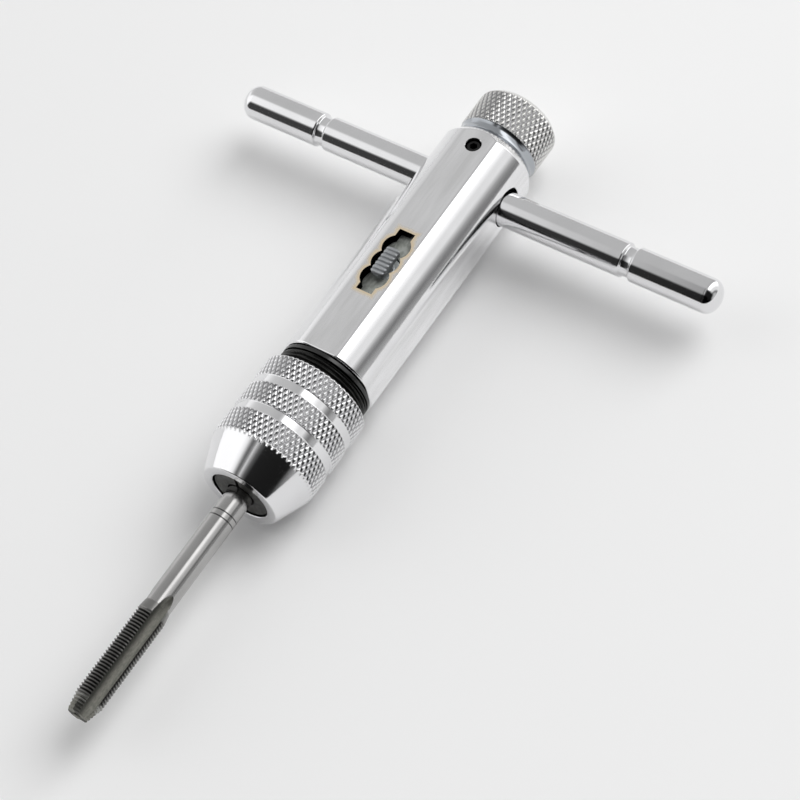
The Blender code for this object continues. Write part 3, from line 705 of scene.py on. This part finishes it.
def make_housing():
    edge = 0.12 * MM
    rows = [(0, BODY_TOP_Y), (STEM_BORE_R + 1 * MM, BODY_TOP_Y), (BODY_TOP_R - 0.25 * MM, BODY_TOP_Y),
            (BODY_TOP_R - 0.08 * MM, BODY_TOP_Y - 0.03 * MM), (BODY_TOP_R + 0.06 * MM, BODY_TOP_Y - edge)]
    chamfer_rows = 26
    slope = (BODY_R - BODY_TOP_R) / (BODY_TOP_Y - BODY_CHAMFER_Y)
    for i in range(1, chamfer_rows):
        y = BODY_TOP_Y - edge - (BODY_TOP_Y - edge - BODY_CHAMFER_Y) * i / chamfer_rows
        rows.append((BODY_TOP_R + slope * (BODY_TOP_Y - y), y))
    rows += [(BODY_R - 0.015 * MM, BODY_CHAMFER_Y - 0.03 * MM), (BODY_R, BODY_CHAMFER_Y - 0.15 * MM),
             (BODY_R, BODY_END_Y + BODY_LIP)]
    lip_rows = 6
    for i in range(1, lip_rows + 1):
        a = math.pi / 2 * i / lip_rows
        rows.append((BODY_R - BODY_LIP * (1 - math.cos(a)), BODY_END_Y + BODY_LIP * (1 - math.sin(a))))
    rows.append((0, BODY_END_Y))
    body = lathe("housing_shell", rows, 480, relief=flats)
    cavity = lathe("cut_cavity", [
        (0, PILOT_BORE_TOP_Y), (PILOT_BORE_R, PILOT_BORE_TOP_Y), (PILOT_BORE_R, CAVITY_TOP_Y),
        (CAVITY_R, CAVITY_TOP_Y), (CAVITY_R, JOURNAL_STEP_Y), (JOURNAL_BORE_R, JOURNAL_STEP_Y),
        *ring_groove(JOURNAL_BORE_R, RING_GROOVE_OUTER_R),
        (JOURNAL_BORE_R, BODY_END_Y - 1 * MM), (0, BODY_END_Y - 1 * MM)], 128)
    channel = bore("cut_channel", CHANNEL_R, JOURNAL_STEP_Y - 0.5 * MM, CAVITY_TOP_Y - 0.2 * MM, steps=128)
    walls = block("cut_walls", (-CHANNEL_HALF_W, -60 * MM, 1 * MM), (CHANNEL_HALF_W, 0, BODY_R))
    carve(channel, [walls], "INTERSECT")
    stem = bore("cut_stem", STEM_BORE_R, 0, BODY_TOP_Y + 1 * MM)
    bar_hole = mouth("cut_bar_hole", BAR_HOLE_R, -15 * MM, 15 * MM, FLAT_H, "X", (0, BAR_HOLE_Y, 0))
    grub_hole = mouth("cut_grub_hole", GRUB_HOLE_R, 3.5 * MM, 12 * MM, FLAT_H, "Z", (0, GRUB_Y, 0), 0.1 * MM)
    carve(body, [cavity, channel, stem, bar_hole, grub_hole, window_cutter()])
    present(body, "body", "housing", chrome_housing(), sharp=30)


def make_bar():
    tip = BAR_LENGTH / 2
    groove = tip - GROOVE_FROM_END
    floor_r, floor_half_w = BAR_R - GROOVE_DEPTH, GROOVE_HALF_W - 0.35 * MM
    half = []
    dome_rows = 14
    for i in range(dome_rows + 1):
        a = math.pi / 2 * i / dome_rows
        half.append((BAR_R * math.sin(a) ** 0.92, tip - BAR_DOME * (1 - math.cos(a))))
    half[0] = (0, tip)
    ends = soften([half[-1], (BAR_R, groove + GROOVE_HALF_W), (floor_r, groove + floor_half_w),
                   (floor_r, groove - floor_half_w), (BAR_R, groove - GROOVE_HALF_W), (BAR_R, 0)], 0.22 * MM)
    half += ends[1:-1]
    path = [(r, BAR_OFFSET + z) for r, z in half] + [(r, BAR_OFFSET - z) for r, z in half[::-1]]
    bar = lathe("t_bar", path, 160, "X")
    look = metal("chrome_bar_look", (0.82, 0.82, 0.83), 0.09, GRAIN_ALONG_X, 5000.0, POLISH_DEPTH, 0.03, 0.05)
    present(bar, "bar", "handle_bar", look.material)


def knurl(grooves, crest_r, smooth_r):
    """A relief of two crossing families of grooves, cut into what is turned to the crest radius."""
    def relief(angle, radius, height):
        if radius[0] < smooth_r:
            return radius
        around = angle * grooves / TURN
        along = height / KNURL_PERIOD_Y
        cuts = [np.abs(2 * (phase - np.floor(phase)) - 1) for phase in (around + along, around - along)]
        cut = np.clip((np.maximum(*cuts) - KNURL_FLAT) / (1 - KNURL_FLAT), 0, 1)
        return np.minimum(radius, crest_r - KNURL_DEPTH * cut)
    return relief


def knurled_rows(profile, high, low):
    """Adds rows on the knurl's own lattice between two heights of a profile."""
    heights = np.array([y for _, y in profile])
    radii = np.array([r for r, _ in profile])
    step = KNURL_PERIOD_Y / KNURL_SAMPLES
    lattice = np.arange(math.ceil(low / step), math.floor(high / step) + 1) * step
    lattice = [y for y in lattice if np.abs(heights - y).min() > 0.02 * MM]
    extra = [(float(np.interp(-y, -heights, radii)), float(y)) for y in lattice]
    return sorted(list(profile) + extra, key=lambda point: -point[1])


def make_knob():
    skirt = soften([(KNOB_TOP_R, KNOB_TOP_Y - 0.01 * MM), (KNOB_R, KNOB_CHAMFER_Y), (KNOB_R, KNURL_LOW_Y),
                    (KNOB_NECK_R, KNURL_LOW_Y - 0.15 * MM), (KNOB_WAIST_R, KNURL_LOW_Y - 1.0 * MM),
                    (KNOB_WAIST_R, KNOB_LOW_Y + 0.9 * MM), (KNOB_NECK_R, KNOB_LOW_Y + 0.2 * MM),
                    (KNOB_NECK_R - 0.2 * MM, KNOB_LOW_Y + 0.01 * MM)], 0.5 * MM, count=8)
    outer = knurled_rows(skirt, KNOB_TOP_Y - 0.05 * MM, KNURL_LOW_Y - 0.5 * MM)
    dimple_r, dimple_depth = 1.1 * MM, 0.9 * MM
    cap = [(0, KNOB_TOP_Y - dimple_depth), (dimple_r, KNOB_TOP_Y - 0.12 * MM),
           (dimple_r + 0.2 * MM, KNOB_TOP_Y), (KNOB_TOP_R - 0.3 * MM, KNOB_TOP_Y)]
    stem = [(STEM_R, KNOB_LOW_Y), (STEM_R, STEM_END_Y), (0, STEM_END_Y)]
    knob = lathe("clamp_knob_turned", cap + outer + stem, KNOB_GROOVES * KNURL_SAMPLES,
                 relief=knurl(KNOB_GROOVES, KNOB_R, KNOB_NECK_R - 0.09 * MM))
    look = knurled_chrome("chrome_knob_look", KNOB_R, (0.74, 0.735, 0.72), KNURL_LOW_Y)
    present(knob, "knob", "clamp_knob", look, sharp=50)


def cone_profile():
    """The chuck's nose, a little barrelled."""
    rows = 12
    points = []
    for i in range(1, rows + 1):
        t = i / rows
        radius = SLEEVE_R + (NOSE_R - SLEEVE_R) * t + CONE_BULGE * 4 * t * (1 - t)
        points.append((radius, CONE_TOP_Y + (NOSE_Y - CONE_TOP_Y) * t))
    return points


def make_sleeve():
    chamfer = 0.5 * MM
    bands = []
    for high, low, radius, side in SLEEVE_BANDS:
        bands += [(SLEEVE_R, high), (radius, high - side), (radius, low + side), (SLEEVE_R, low)]
    shoulders = soften([(SLEEVE_R - chamfer, SLEEVE_TOP_Y), (SLEEVE_R, SLEEVE_TOP_Y - chamfer), *bands,
                        (SLEEVE_R, CONE_TOP_Y)], 0.12 * MM, count=2)
    cone = cone_profile()
    outer = knurled_rows(shoulders + cone[:-1], SLEEVE_TOP_Y, CONE_TOP_Y - 1.2 * MM)
    cone_bore_y = NOSE_Y + 0.3 * MM + (SLEEVE_BORE_R - NOSE_HOLE_R) / CONE_SLOPE
    nose = soften([outer[-1], cone[-1], (NOSE_HOLE_R, NOSE_Y), (NOSE_HOLE_R, NOSE_Y + 0.6 * MM)], 0.22 * MM)
    nose = nose[1:-1]
    o_ring_groove = ring_groove(SLEEVE_BORE_R, BARREL_GROOVE_R, O_RING_Y, O_RING_HALF_W)
    inside = [(NOSE_HOLE_R, NOSE_Y + 0.3 * MM), (SLEEVE_BORE_R, cone_bore_y), *o_ring_groove[::-1],
              (SLEEVE_BORE_R, SLEEVE_THREAD_LOW_Y),
              (SLEEVE_THREAD_R, SLEEVE_THREAD_LOW_Y), (SLEEVE_THREAD_R, SLEEVE_TOP_Y - 0.25 * MM),
              (SLEEVE_THREAD_R + 0.25 * MM, SLEEVE_TOP_Y)]
    sleeve = lathe("chuck_sleeve", outer + nose + inside, SLEEVE_GROOVES * KNURL_SAMPLES, ring=True,
                   relief=knurl(SLEEVE_GROOVES, SLEEVE_R, 11.9 * MM))
    look = knurled_chrome("chrome_sleeve_look", SLEEVE_R, CHROME)
    present(sleeve, "sleeve", "jaw_sleeve", look, sharp=50)


def make_slide():
    count = 40
    reach = math.asin(SLIDE_HALF_W / SLIDE_OUTER_R)
    outline = [(SLIDE_OUTER_R * math.sin(a), SLIDE_OUTER_R * math.cos(a))
               for a in np.linspace(-reach, reach, count)]
    inner_reach = math.acos(SLIDE_LOW_Z / SLIDE_INNER_R)
    outline.append((SLIDE_HALF_W, SLIDE_LOW_Z))
    outline += [(SLIDE_INNER_R * math.sin(a), SLIDE_INNER_R * math.cos(a))
                for a in np.linspace(inner_reach, -inner_reach, count)]
    outline.append((-SLIDE_HALF_W, SLIDE_LOW_Z))
    slide = prism("selector_carriage", [(float(x), float(z)) for x, z in outline], *SLIDE_Y)
    cutters = [bore("cut_pocket", POCKET_R, POCKET_FLOOR_Z, 12 * MM, "Z", (0, SELECTOR_Y, 0), 64)]
    for i, y in enumerate(PAWL_Y):
        cutters.append(block(f"cut_room_{i}", (-PAWL_ROOM_HALF_W, y - PAWL_ROOM_HALF_L, 2 * MM),
                             (PAWL_ROOM_HALF_W, y + PAWL_ROOM_HALF_L, PAWL_ROOM_TOP_Z)))
    carve(slide, cutters)
    look = metal("slide_steel_look", (0.50, 0.52, 0.49), 0.42, EVEN, 1500.0, 0.03 * MM, 0.12, 0.35, 0.55)
    mottle = look.span(look.noise(1500.0, 6.0, (1.0, 0.5, 1.0)), 0.42, 0.62, 0.0, 0.6)
    look.feed("Base Color", look.mix(mottle, look.fed("Base Color"), (0.20, 0.215, 0.19)))
    present(slide, "selector", "selector_slide", look.material)


def make_button():
    """A ribbed pad on a neck, with the collar that the window's scallops guide."""
    across, along = 17, 141
    end_r = 1.0 * MM
    pad_top = []
    u = np.linspace(-1, 1, across)
    v = np.linspace(-BUTTON_HALF_L, BUTTON_HALF_L, along)
    beyond = np.clip(np.abs(v) - (BUTTON_HALF_L - end_r), 0, end_r)
    half_w = BUTTON_HALF_W - end_r + np.sqrt(np.maximum(end_r ** 2 - beyond ** 2, (0.02 * MM) ** 2))
    rib = np.abs(np.cos(math.pi * v / RIB_PITCH)) ** 0.7
    crown = PAD_CROWN * (1 - np.abs(u) ** 6)
    end_fall = PAD_END_FALL * (np.abs(v) / BUTTON_HALF_L) ** 8
    for i in range(along):
        z = BUTTON_Z[1] - RIB_DEPTH * (1 - rib[i]) - end_fall[i] - PAD_CROWN + crown
        pad_top.append(np.stack([u * half_w[i], np.full(across, v[i]), z], -1))
    top = np.concatenate(pad_top)
    low = top.copy()
    low[:, 2] = BUTTON_Z[0]
    points = np.concatenate([top, low])
    faces = []
    shift = along * across
    for i in range(along - 1):
        for j in range(across - 1):
            a = i * across + j
            quad = [a, a + 1, a + across + 1, a + across]
            faces += [quad, [shift + k for k in quad[::-1]]]
    rim = list(range(across)) + [i * across + across - 1 for i in range(1, along)]
    rim += [(along - 1) * across + j for j in range(across - 2, -1, -1)]
    rim += [i * across for i in range(along - 2, 0, -1)]
    for i, a in enumerate(rim):
        b = rim[(i + 1) % len(rim)]
        faces.append([b, a, shift + a, shift + b])
    pad = new_piece("pad", points, faces, (0, SELECTOR_Y, 0))
    post = lathe("post", soften([
        (0, BUTTON_NECK_TOP_Z), (BUTTON_NECK_R, BUTTON_NECK_TOP_Z), (BUTTON_NECK_R, COLLAR_Z[1]),
        (COLLAR_R, COLLAR_Z[1]), (COLLAR_R, COLLAR_Z[0]), (0, COLLAR_Z[0])], 0.12 * MM),
        96, "Z", (0, SELECTOR_Y, 0))
    button = join("ribbed_button", [pad, post])
    look = metal("button_steel_look", (0.47, 0.485, 0.50), 0.34, MARKS_AROUND_X, 900.0, 0.006 * MM,
                 0.08, 0.2, 0.75)
    z = look.axis_parts()[2]
    # Painted highlight: the collar is coloured a pale, near white blue.
    painted_collar_highlight = look.span(z, AXIS_Z + COLLAR_Z[1] + 0.3 * MM, AXIS_Z + COLLAR_Z[1] + 0.1 * MM)
    look.feed("Base Color", look.mix(painted_collar_highlight, look.fed("Base Color"), (0.88, 0.92, 0.93)))
    present(button, "button", "thumb_button", look.material, sharp=45)


def neck_thread(angle, radius, height):
    """The thread around the spindle's neck, which dies away at both ends."""
    if radius[0] != NECK_R:
        return radius
    phase = height / NECK_PITCH + angle / TURN
    wave = np.abs(2 * (phase - np.floor(phase)) - 1)
    taper = min(1.0, (NECK_TOP_Y - height) / (0.4 * MM), (height - NECK_LOW_Y) / (0.4 * MM))
    return radius - NECK_THREAD_DEPTH * np.clip((wave - 0.12) / 0.76, 0, 1) * max(taper, 0.35)


def make_spindle():
    chamfer = 0.35 * MM
    rows_per_pitch = 14
    rows = int(round((NECK_TOP_Y - NECK_LOW_Y) / NECK_PITCH * rows_per_pitch))
    threads = [(NECK_R, NECK_TOP_Y - (NECK_TOP_Y - NECK_LOW_Y) * i / rows) for i in range(1, rows)]
    neck = lathe("spindle_neck", [(0, NECK_TOP_Y), (NECK_R - chamfer, NECK_TOP_Y)] + threads
                 + [(NECK_R - chamfer, NECK_LOW_Y), (0, NECK_LOW_Y)], 192, relief=neck_thread)
    shaft_top_y = GEAR_Y[1] + 0.4 * MM
    core = lathe("core", soften([
        (0, PILOT_TOP_Y), (PILOT_R, PILOT_TOP_Y), (PILOT_R, shaft_top_y), (SHAFT_R, shaft_top_y),
        (SHAFT_R, JOURNAL_TOP_Y), (JOURNAL_R, JOURNAL_TOP_Y), *ring_groove(JOURNAL_R, RING_GROOVE_INNER_R),
        (JOURNAL_R, NECK_TOP_Y - 1 * MM), (0, NECK_TOP_Y - 1 * MM)], 0.12 * MM), 96)
    gap_top, gap_root = 0.8 * MM, 0.36 * MM
    teeth = []
    for i in range(GEAR_TEETH):
        for half_w, r in ((-gap_top, GEAR_TIP_R), (-gap_root, GEAR_ROOT_R),
                          (gap_root, GEAR_ROOT_R), (gap_top, GEAR_TIP_R)):
            a = TURN * i / GEAR_TEETH + math.asin(half_w / r)
            teeth.append((r * math.sin(a), r * math.cos(a)))
    gear = prism("gear", teeth, *GEAR_Y)
    carve(core, [gear], "UNION")
    barrel = lathe("barrel", soften([(0, NECK_LOW_Y + 1 * MM), (BARREL_R, NECK_LOW_Y + 1 * MM),
                                     (BARREL_R, BARREL_END_Y), (0, BARREL_END_Y)], 0.2 * MM), 128)
    carve(barrel, [block("cut_slot", (-15 * MM, -80 * MM, -SLOT_HALF_W), (15 * MM, SLOT_TOP_Y, SLOT_HALF_W)),
                   bore("cut_shank", SHANK_BORE_R, -80 * MM, SLOT_TOP_Y + 1.5 * MM)])
    inner = join("spindle_core", [core, barrel])
    look = metal("black_oxide_look", (0.035, 0.035, 0.034), 0.24, MARKS_AROUND_Y, 1500.0, 0.003 * MM,
                 0.05, 0.3, 0.85)
    for piece in (neck, inner):
        present(piece, "spindle", "spindle", look.material, sharp=45)


def make_washer():
    (outer_r, inner_r), (high, low) = WASHER_R, WASHER_Y
    section = [(outer_r, high), (outer_r, low), (inner_r, low), (inner_r, high)]
    washer = lathe("thrust_ring", soften(section, 0.12 * MM, ring=True), 192, ring=True)
    look = metal("washer_steel_look", (0.07, 0.07, 0.07), 0.20, MARKS_AROUND_Y, 2000.0, 0.002 * MM, 0.05, 0.1)
    present(washer, "body", "thrust_washer", look.material)


def make_jaws():
    cone_y = JAW_NOSE_Y + (JAW_R - JAW_NOSE_R) / CONE_SLOPE
    half = JAW_SQUARE / 2
    look = metal("jaw_steel_look", (0.085, 0.084, 0.078), 0.45, EVEN, 1200.0, 0.012 * MM, 0.10, 0.4, 0.6)
    for side, body, node in ((-1, "left_jaw", "jaw_left"), (1, "right_jaw", "jaw_right")):
        jaw = lathe(f"{body}_piece", soften([
            (0, JAW_TAIL_Y), (JAW_TAIL_R, JAW_TAIL_Y), (JAW_TAIL_R, JAW_BACK_Y), (JAW_R, JAW_BACK_Y),
            (JAW_R, cone_y), (JAW_NOSE_R, JAW_NOSE_Y), (0, JAW_NOSE_Y)], 0.15 * MM), 128)
        near, far = sorted((side * JAW_SLIT, side * 12 * MM))
        carve(jaw, [block("cut_half", (near, -95 * MM, -12 * MM), (far, -60 * MM, 12 * MM))], "INTERSECT")
        cutters = []
        for level in (-1, 1):
            low, high = sorted((level * JAW_TAIL_HALF_W, level * 12 * MM))
            cutters.append(block(f"cut_tail_{level + 1}", (-12 * MM, JAW_BACK_Y + 0.01 * MM, low),
                                 (12 * MM, -60 * MM, high)))
            cutters.append(bore(f"cut_spring_{level + 1}", 1.2 * MM, -3.9 * MM, 3.9 * MM, "X",
                                (0, JAW_SPRING_Y, level * JAW_SPRING_Z), 32))
        cutters.append(block("cut_square", (-half, JAW_PLAIN_Y, -half), (half, -60 * MM, half), math.pi / 4))
        cutters.append(bore("cut_shank", JAW_SHANK_R, -90 * MM, JAW_SHANK_TOP_Y, steps=64))
        carve(jaw, cutters)
        present(jaw, body, node, look.material)


def tap_relief(angle, radius, height):
    """Square, thread and flutes, each taken off the turned blank."""
    if radius[0] < 1.2 * MM:
        return radius
    if height > SQUARE_LOW_Y:
        quarter = (angle + math.pi / 2) % (math.pi / 2) - math.pi / 4
        return np.minimum(radius, TAP_SQUARE / 2 / np.cos(quarter))
    out = radius
    if height < FULL_THREAD_Y + 0.5 * MM:
        phase = height / TAP_PITCH + angle / TURN
        wave = np.abs(2 * (phase - np.floor(phase)) - 1)
        lead = min(max((LEAD_Y - height) / (LEAD_Y - TAP_TIP_Y), 0), 1)
        starting = min(max((FULL_THREAD_Y + 0.4 * MM - height) / (0.6 * MM), 0), 1)
        depth = TAP_THREAD_DEPTH * starting * (1 - 0.7 * lead)
        out = radius - depth * np.clip((wave - 0.18) / 0.62, 0, 1)
    if height < FLUTE_TOP_Y:
        climb = max(height - FLUTE_FULL_Y, 0)
        offset = FLUTE_OFFSET + climb ** 2 / (2 * FLUTE_CUTTER_R)
        for degrees in FLUTE_ANGLES:
            off = (angle - math.radians(degrees) + math.pi) % TURN - math.pi
            inside = FLUTE_R ** 2 - (offset * np.sin(off)) ** 2
            near = offset * np.cos(off) - np.sqrt(np.maximum(inside, 0))
            hit = (inside > 0) & (np.abs(off) < math.pi / 2)
            out = np.where(hit, np.minimum(out, near), out)
    return out


def make_tap():
    shank = [(SHANK_R, y) for y in np.linspace(SQUARE_LOW_Y - 0.01 * MM, FLUTE_TOP_Y + 0.1 * MM, 57)]
    for y in TAP_RINGS_Y:
        for reach, depth in ((0.13 * MM, 0), (0.1 * MM, 0), (0.06 * MM, TAP_RING_DEPTH)):
            shank += [(SHANK_R - depth, y + reach), (SHANK_R - depth, y - reach)]
    shank.sort(key=lambda point: -point[1])
    runout = [(SHANK_R, y) for y in np.linspace(FLUTE_TOP_Y, THREAD_TOP_Y + 0.5 * MM, 50)]
    rows_per_pitch = 10
    count = int((THREAD_TOP_Y - TAP_TIP_Y) / TAP_PITCH * rows_per_pitch)
    threads = []
    for y in np.linspace(THREAD_TOP_Y, TAP_TIP_Y, count):
        start = np.clip((y - FULL_THREAD_Y) / (THREAD_TOP_Y - FULL_THREAD_Y), 0, 1)
        lead = np.clip((LEAD_Y - y) / (LEAD_Y - TAP_TIP_Y), 0, 1)
        threads.append((TAP_R + (SHANK_R + 0.12 * MM - TAP_R) * start + (TAP_TIP_R - TAP_R) * lead, y))
    centre_r, centre_depth = 0.9 * MM, 0.8 * MM
    tip = [(TAP_TIP_R - 0.3 * MM, TAP_TIP_Y - 0.001 * MM), (1.3 * MM, TAP_TIP_Y), (centre_r, TAP_TIP_Y),
           (centre_r * 0.4, TAP_TIP_Y + centre_depth), (0, TAP_TIP_Y + centre_depth)]
    tail = [(0, TAP_TAIL_Y), (2.2 * MM, TAP_TAIL_Y), (2.5 * MM, TAP_TAIL_Y - 0.1 * MM),
            (SHANK_R, TAP_TAIL_Y - 0.5 * MM), (SHANK_R, SQUARE_LOW_Y + 0.01 * MM)]
    path = tail + shank + runout + threads + tip
    tap = lathe("hand_tap", [(float(r), float(y)) for r, y in path], 216, relief=tap_relief)
    present(tap, "tap", "tap", tap_steel(), sharp=55, weighted=False)


def coil(name, radius, wire_r, low, high, turns, axis, middle):
    """A coil spring between two heights of its wire's centre line."""
    per_turn, around = 24, 10
    count = turns * per_turn
    angle = np.arange(count + 1) * TURN / per_turn
    height = low + (high - low) * np.arange(count + 1) / count
    centre = laid(radius, angle, height, axis)
    outward = laid(1.0, angle, 0.0, axis)
    along = laid(0.0, angle, 1.0, axis)
    turn = np.arange(around) * TURN / around
    section = np.cos(turn)[None, :, None] * outward[:, None] + np.sin(turn)[None, :, None] * along[:, None]
    points = (centre[:, None] + wire_r * section).reshape(-1, 3)
    faces = [list(range(around)), list(range(count * around, (count + 1) * around))[::-1]]
    for i in range(count):
        for j in range(around):
            k = (j + 1) % around
            faces.append([i * around + j, i * around + k, (i + 1) * around + k, (i + 1) * around + j])
    return new_piece(name, points, faces, middle)


def make_springs():
    """Coil springs in place of the CAD springs, each left unattached to any body."""
    look = metal("spring_wire_look", (0.58, 0.58, 0.59), 0.28, EVEN, 1500.0, 0.002 * MM).material
    upright = [("button_spring", "button", 1.9 * MM, 0.18 * MM, SELECTOR_Y, (6.25 * MM, 7.05 * MM), 2, 1)]
    for hand, y in zip(("forward", "reverse"), PAWL_Y):
        upright.append((f"pawl_spring_{hand}", f"{hand}_pawl", 0.78 * MM, 0.14 * MM, y,
                        (5.6 * MM, 7.8 * MM), 4, 0))
    for node, body, radius, wire_r, y, (low, high), turns, moving_end in upright:
        spring = coil(f"{node}_coil", radius, wire_r, low, high, turns, "Z", (0, y, 0))
        present(spring, None, node, look, sharp=60)
        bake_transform(spring)
    for node, z in (("jaw_spring_upper", JAW_SPRING_Z), ("jaw_spring_lower", -JAW_SPRING_Z)):
        for side, body in ((-1, "left_jaw"), (1, "right_jaw")):
            reach = 3.5 * MM
            low, high = sorted((0, side * reach))
            half = coil(f"{node}_{body}_half", 0.8 * MM, 0.14 * MM, low, high, 3, "X", (0, JAW_SPRING_Y, z))
            present(half, None, node, look, sharp=60)
            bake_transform(half)


def dress_inner_nodes():
    """Gives the inner CAD nodes, whose shapes are right as they are, their finishes."""
    pawl = metal("pawl_look", (0.30, 0.30, 0.31), 0.38, GRAIN_ALONG_Y, 900.0, 0.006 * MM, 0.1, 0.25).material
    black = metal("black_screw_look", (0.012, 0.012, 0.012), 0.55, EVEN, 900.0, 0.004 * MM,
                  0.08, 0.3, 0.5).material
    brass = metal("plunger_brass_look", (0.72, 0.55, 0.28), 0.30, MARKS_AROUND_Y, 900.0, 0.004 * MM).material
    ring = metal("snap_ring_look", (0.40, 0.40, 0.41), 0.34, EVEN, 1200.0, 0.003 * MM).material
    rubber = metal("o_ring_look", (0.02, 0.02, 0.02), 0.62, EVEN, 700.0, 0.01 * MM, 0.08, 0.2, 0.0).material
    looks = {"clamp_plunger": brass, "plunger_screw": black, "snap_ring": ring, "sleeve_o_ring": rubber,
             "pawl_forward": pawl, "pawl_reverse": pawl}
    for name, look in looks.items():
        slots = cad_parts[name].data.materials
        slots.clear()
        slots.append(look)


# Scene

def make_camera():
    """A long lens from above and in front, on the side of the tap."""
    camera = linked("camera", bpy.data.cameras.new("camera"))
    camera.data.lens = 122.647
    camera.data.sensor_width = 36.0
    camera.data.clip_start = 0.01
    camera.data.clip_end = 50.0
    back = Vector((0.401514, -0.392448, 0.827509))
    up = Vector((-0.389928, 0.744306, 0.542185))
    right = up.cross(back).normalized()
    up = back.cross(right).normalized()
    turn = Matrix((right, up, back.normalized())).transposed()
    camera.matrix_world = Matrix.Translation(Vector((247.179, -277.891, 485.034)) * MM) @ turn.to_4x4()
    bpy.context.scene.camera = camera


def make_floor():
    half, low = 3.0, CAD_BOX[0][2] - 0.1 * MM
    mesh = bpy.data.meshes.new("floor")
    corners = [(-half, -half, low), (half, -half, low), (half, half, low), (-half, half, low)]
    mesh.from_pydata(corners, [], [(0, 1, 2, 3)])
    floor = linked("floor", mesh)
    look = Nodes("floor_look")
    look.shader.inputs["Base Color"].default_value = (0.90, 0.90, 0.90, 1.0)
    look.shader.inputs["Roughness"].default_value = 0.9
    look.shader.inputs["Specular IOR Level"].default_value = 0.1
    mesh.materials.append(look.material)


# How bright the studio is from left to right, as (x of the direction, level): behind the
# object a tall panel stands on the right, and the camera's side is pale only on the left.
BEHIND = ((-1.0, 1.05), (-0.93, 1.05), (-0.89, 0.78), (-0.84, 0.66), (-0.66, 0.58), (-0.40, 0.56),
          (-0.05, 0.48), (0.05, 0.62), (0.12, 1.9), (0.34, 2.1), (0.50, 1.25), (0.64, 0.85),
          (0.76, 0.90), (0.83, 0.40), (0.88, 0.17), (0.92, 0.45), (1.0, 0.6))
BEFORE = ((-1.0, 1.2), (-0.55, 1.2), (-0.42, 0.95), (-0.30, 0.25), (-0.25, 0.11), (-0.15, 0.30),
          (-0.10, 0.75), (-0.04, 0.40), (0.05, 0.12), (0.20, 0.015), (0.93, 0.01), (0.97, 0.3),
          (1.0, 0.6))


def make_world():
    """A studio made of levels of light by direction."""
    world = bpy.data.worlds.new("studio")
    bpy.context.scene.world = world
    nodes = Tree(world)

    def levels(value, stops):
        ramp = nodes.add("ShaderNodeValToRGB")
        elements = ramp.color_ramp.elements
        while len(elements) > 1:
            elements.remove(elements[-1])
        for i, (place, level) in enumerate(stops):
            element = elements.new((place + 1) / 2) if i else elements[0]
            element.position = (place + 1) / 2
            element.color = (level, level, level, 1.0)
        nodes.link(nodes.math("MULTIPLY", nodes.math("ADD", value, 1.0), 0.5), ramp.inputs[0])
        return ramp.outputs[0]

    x, y = nodes.parts(nodes.add("ShaderNodeTexCoord").outputs["Generated"])[:2]
    falloff = nodes.span(y, -0.50, -0.68, 1.0, 0.05, smooth=True)
    side = nodes.add("ShaderNodeMix", data_type="FLOAT")
    nodes.link(nodes.span(y, -0.08, 0.18, smooth=True), side.inputs[0])
    nodes.link(nodes.math("MULTIPLY", levels(x, BEFORE), falloff), side.inputs[2])
    nodes.link(levels(x, BEHIND), side.inputs[3])
    background = nodes.tree.nodes["Background"]
    nodes.link(side.outputs[0], background.inputs["Strength"])
    background.inputs["Color"].default_value = (1.0, 1.0, 1.0, 1.0)


def make_light():
    lamp = linked("key_panel", bpy.data.lights.new("key_panel", "AREA"))
    lamp.data.shape = "SQUARE"
    lamp.data.size = 1.2
    lamp.data.energy = 12.0
    lamp.location = (0.5, 0.8, 1.2)
    lamp.rotation_euler = (Vector((0, 0, 0)) - lamp.location).to_track_quat("-Z", "Y").to_euler()
    lamp.visible_glossy = False


make_camera()
make_world()
make_light()
make_floor()
make_housing()
make_bar()
make_knob()
make_sleeve()
make_slide()
make_button()
make_spindle()
make_washer()
make_jaws()
make_tap()
make_springs()
dress_inner_nodes()
bpy.context.scene.view_settings.view_transform = "Standard"
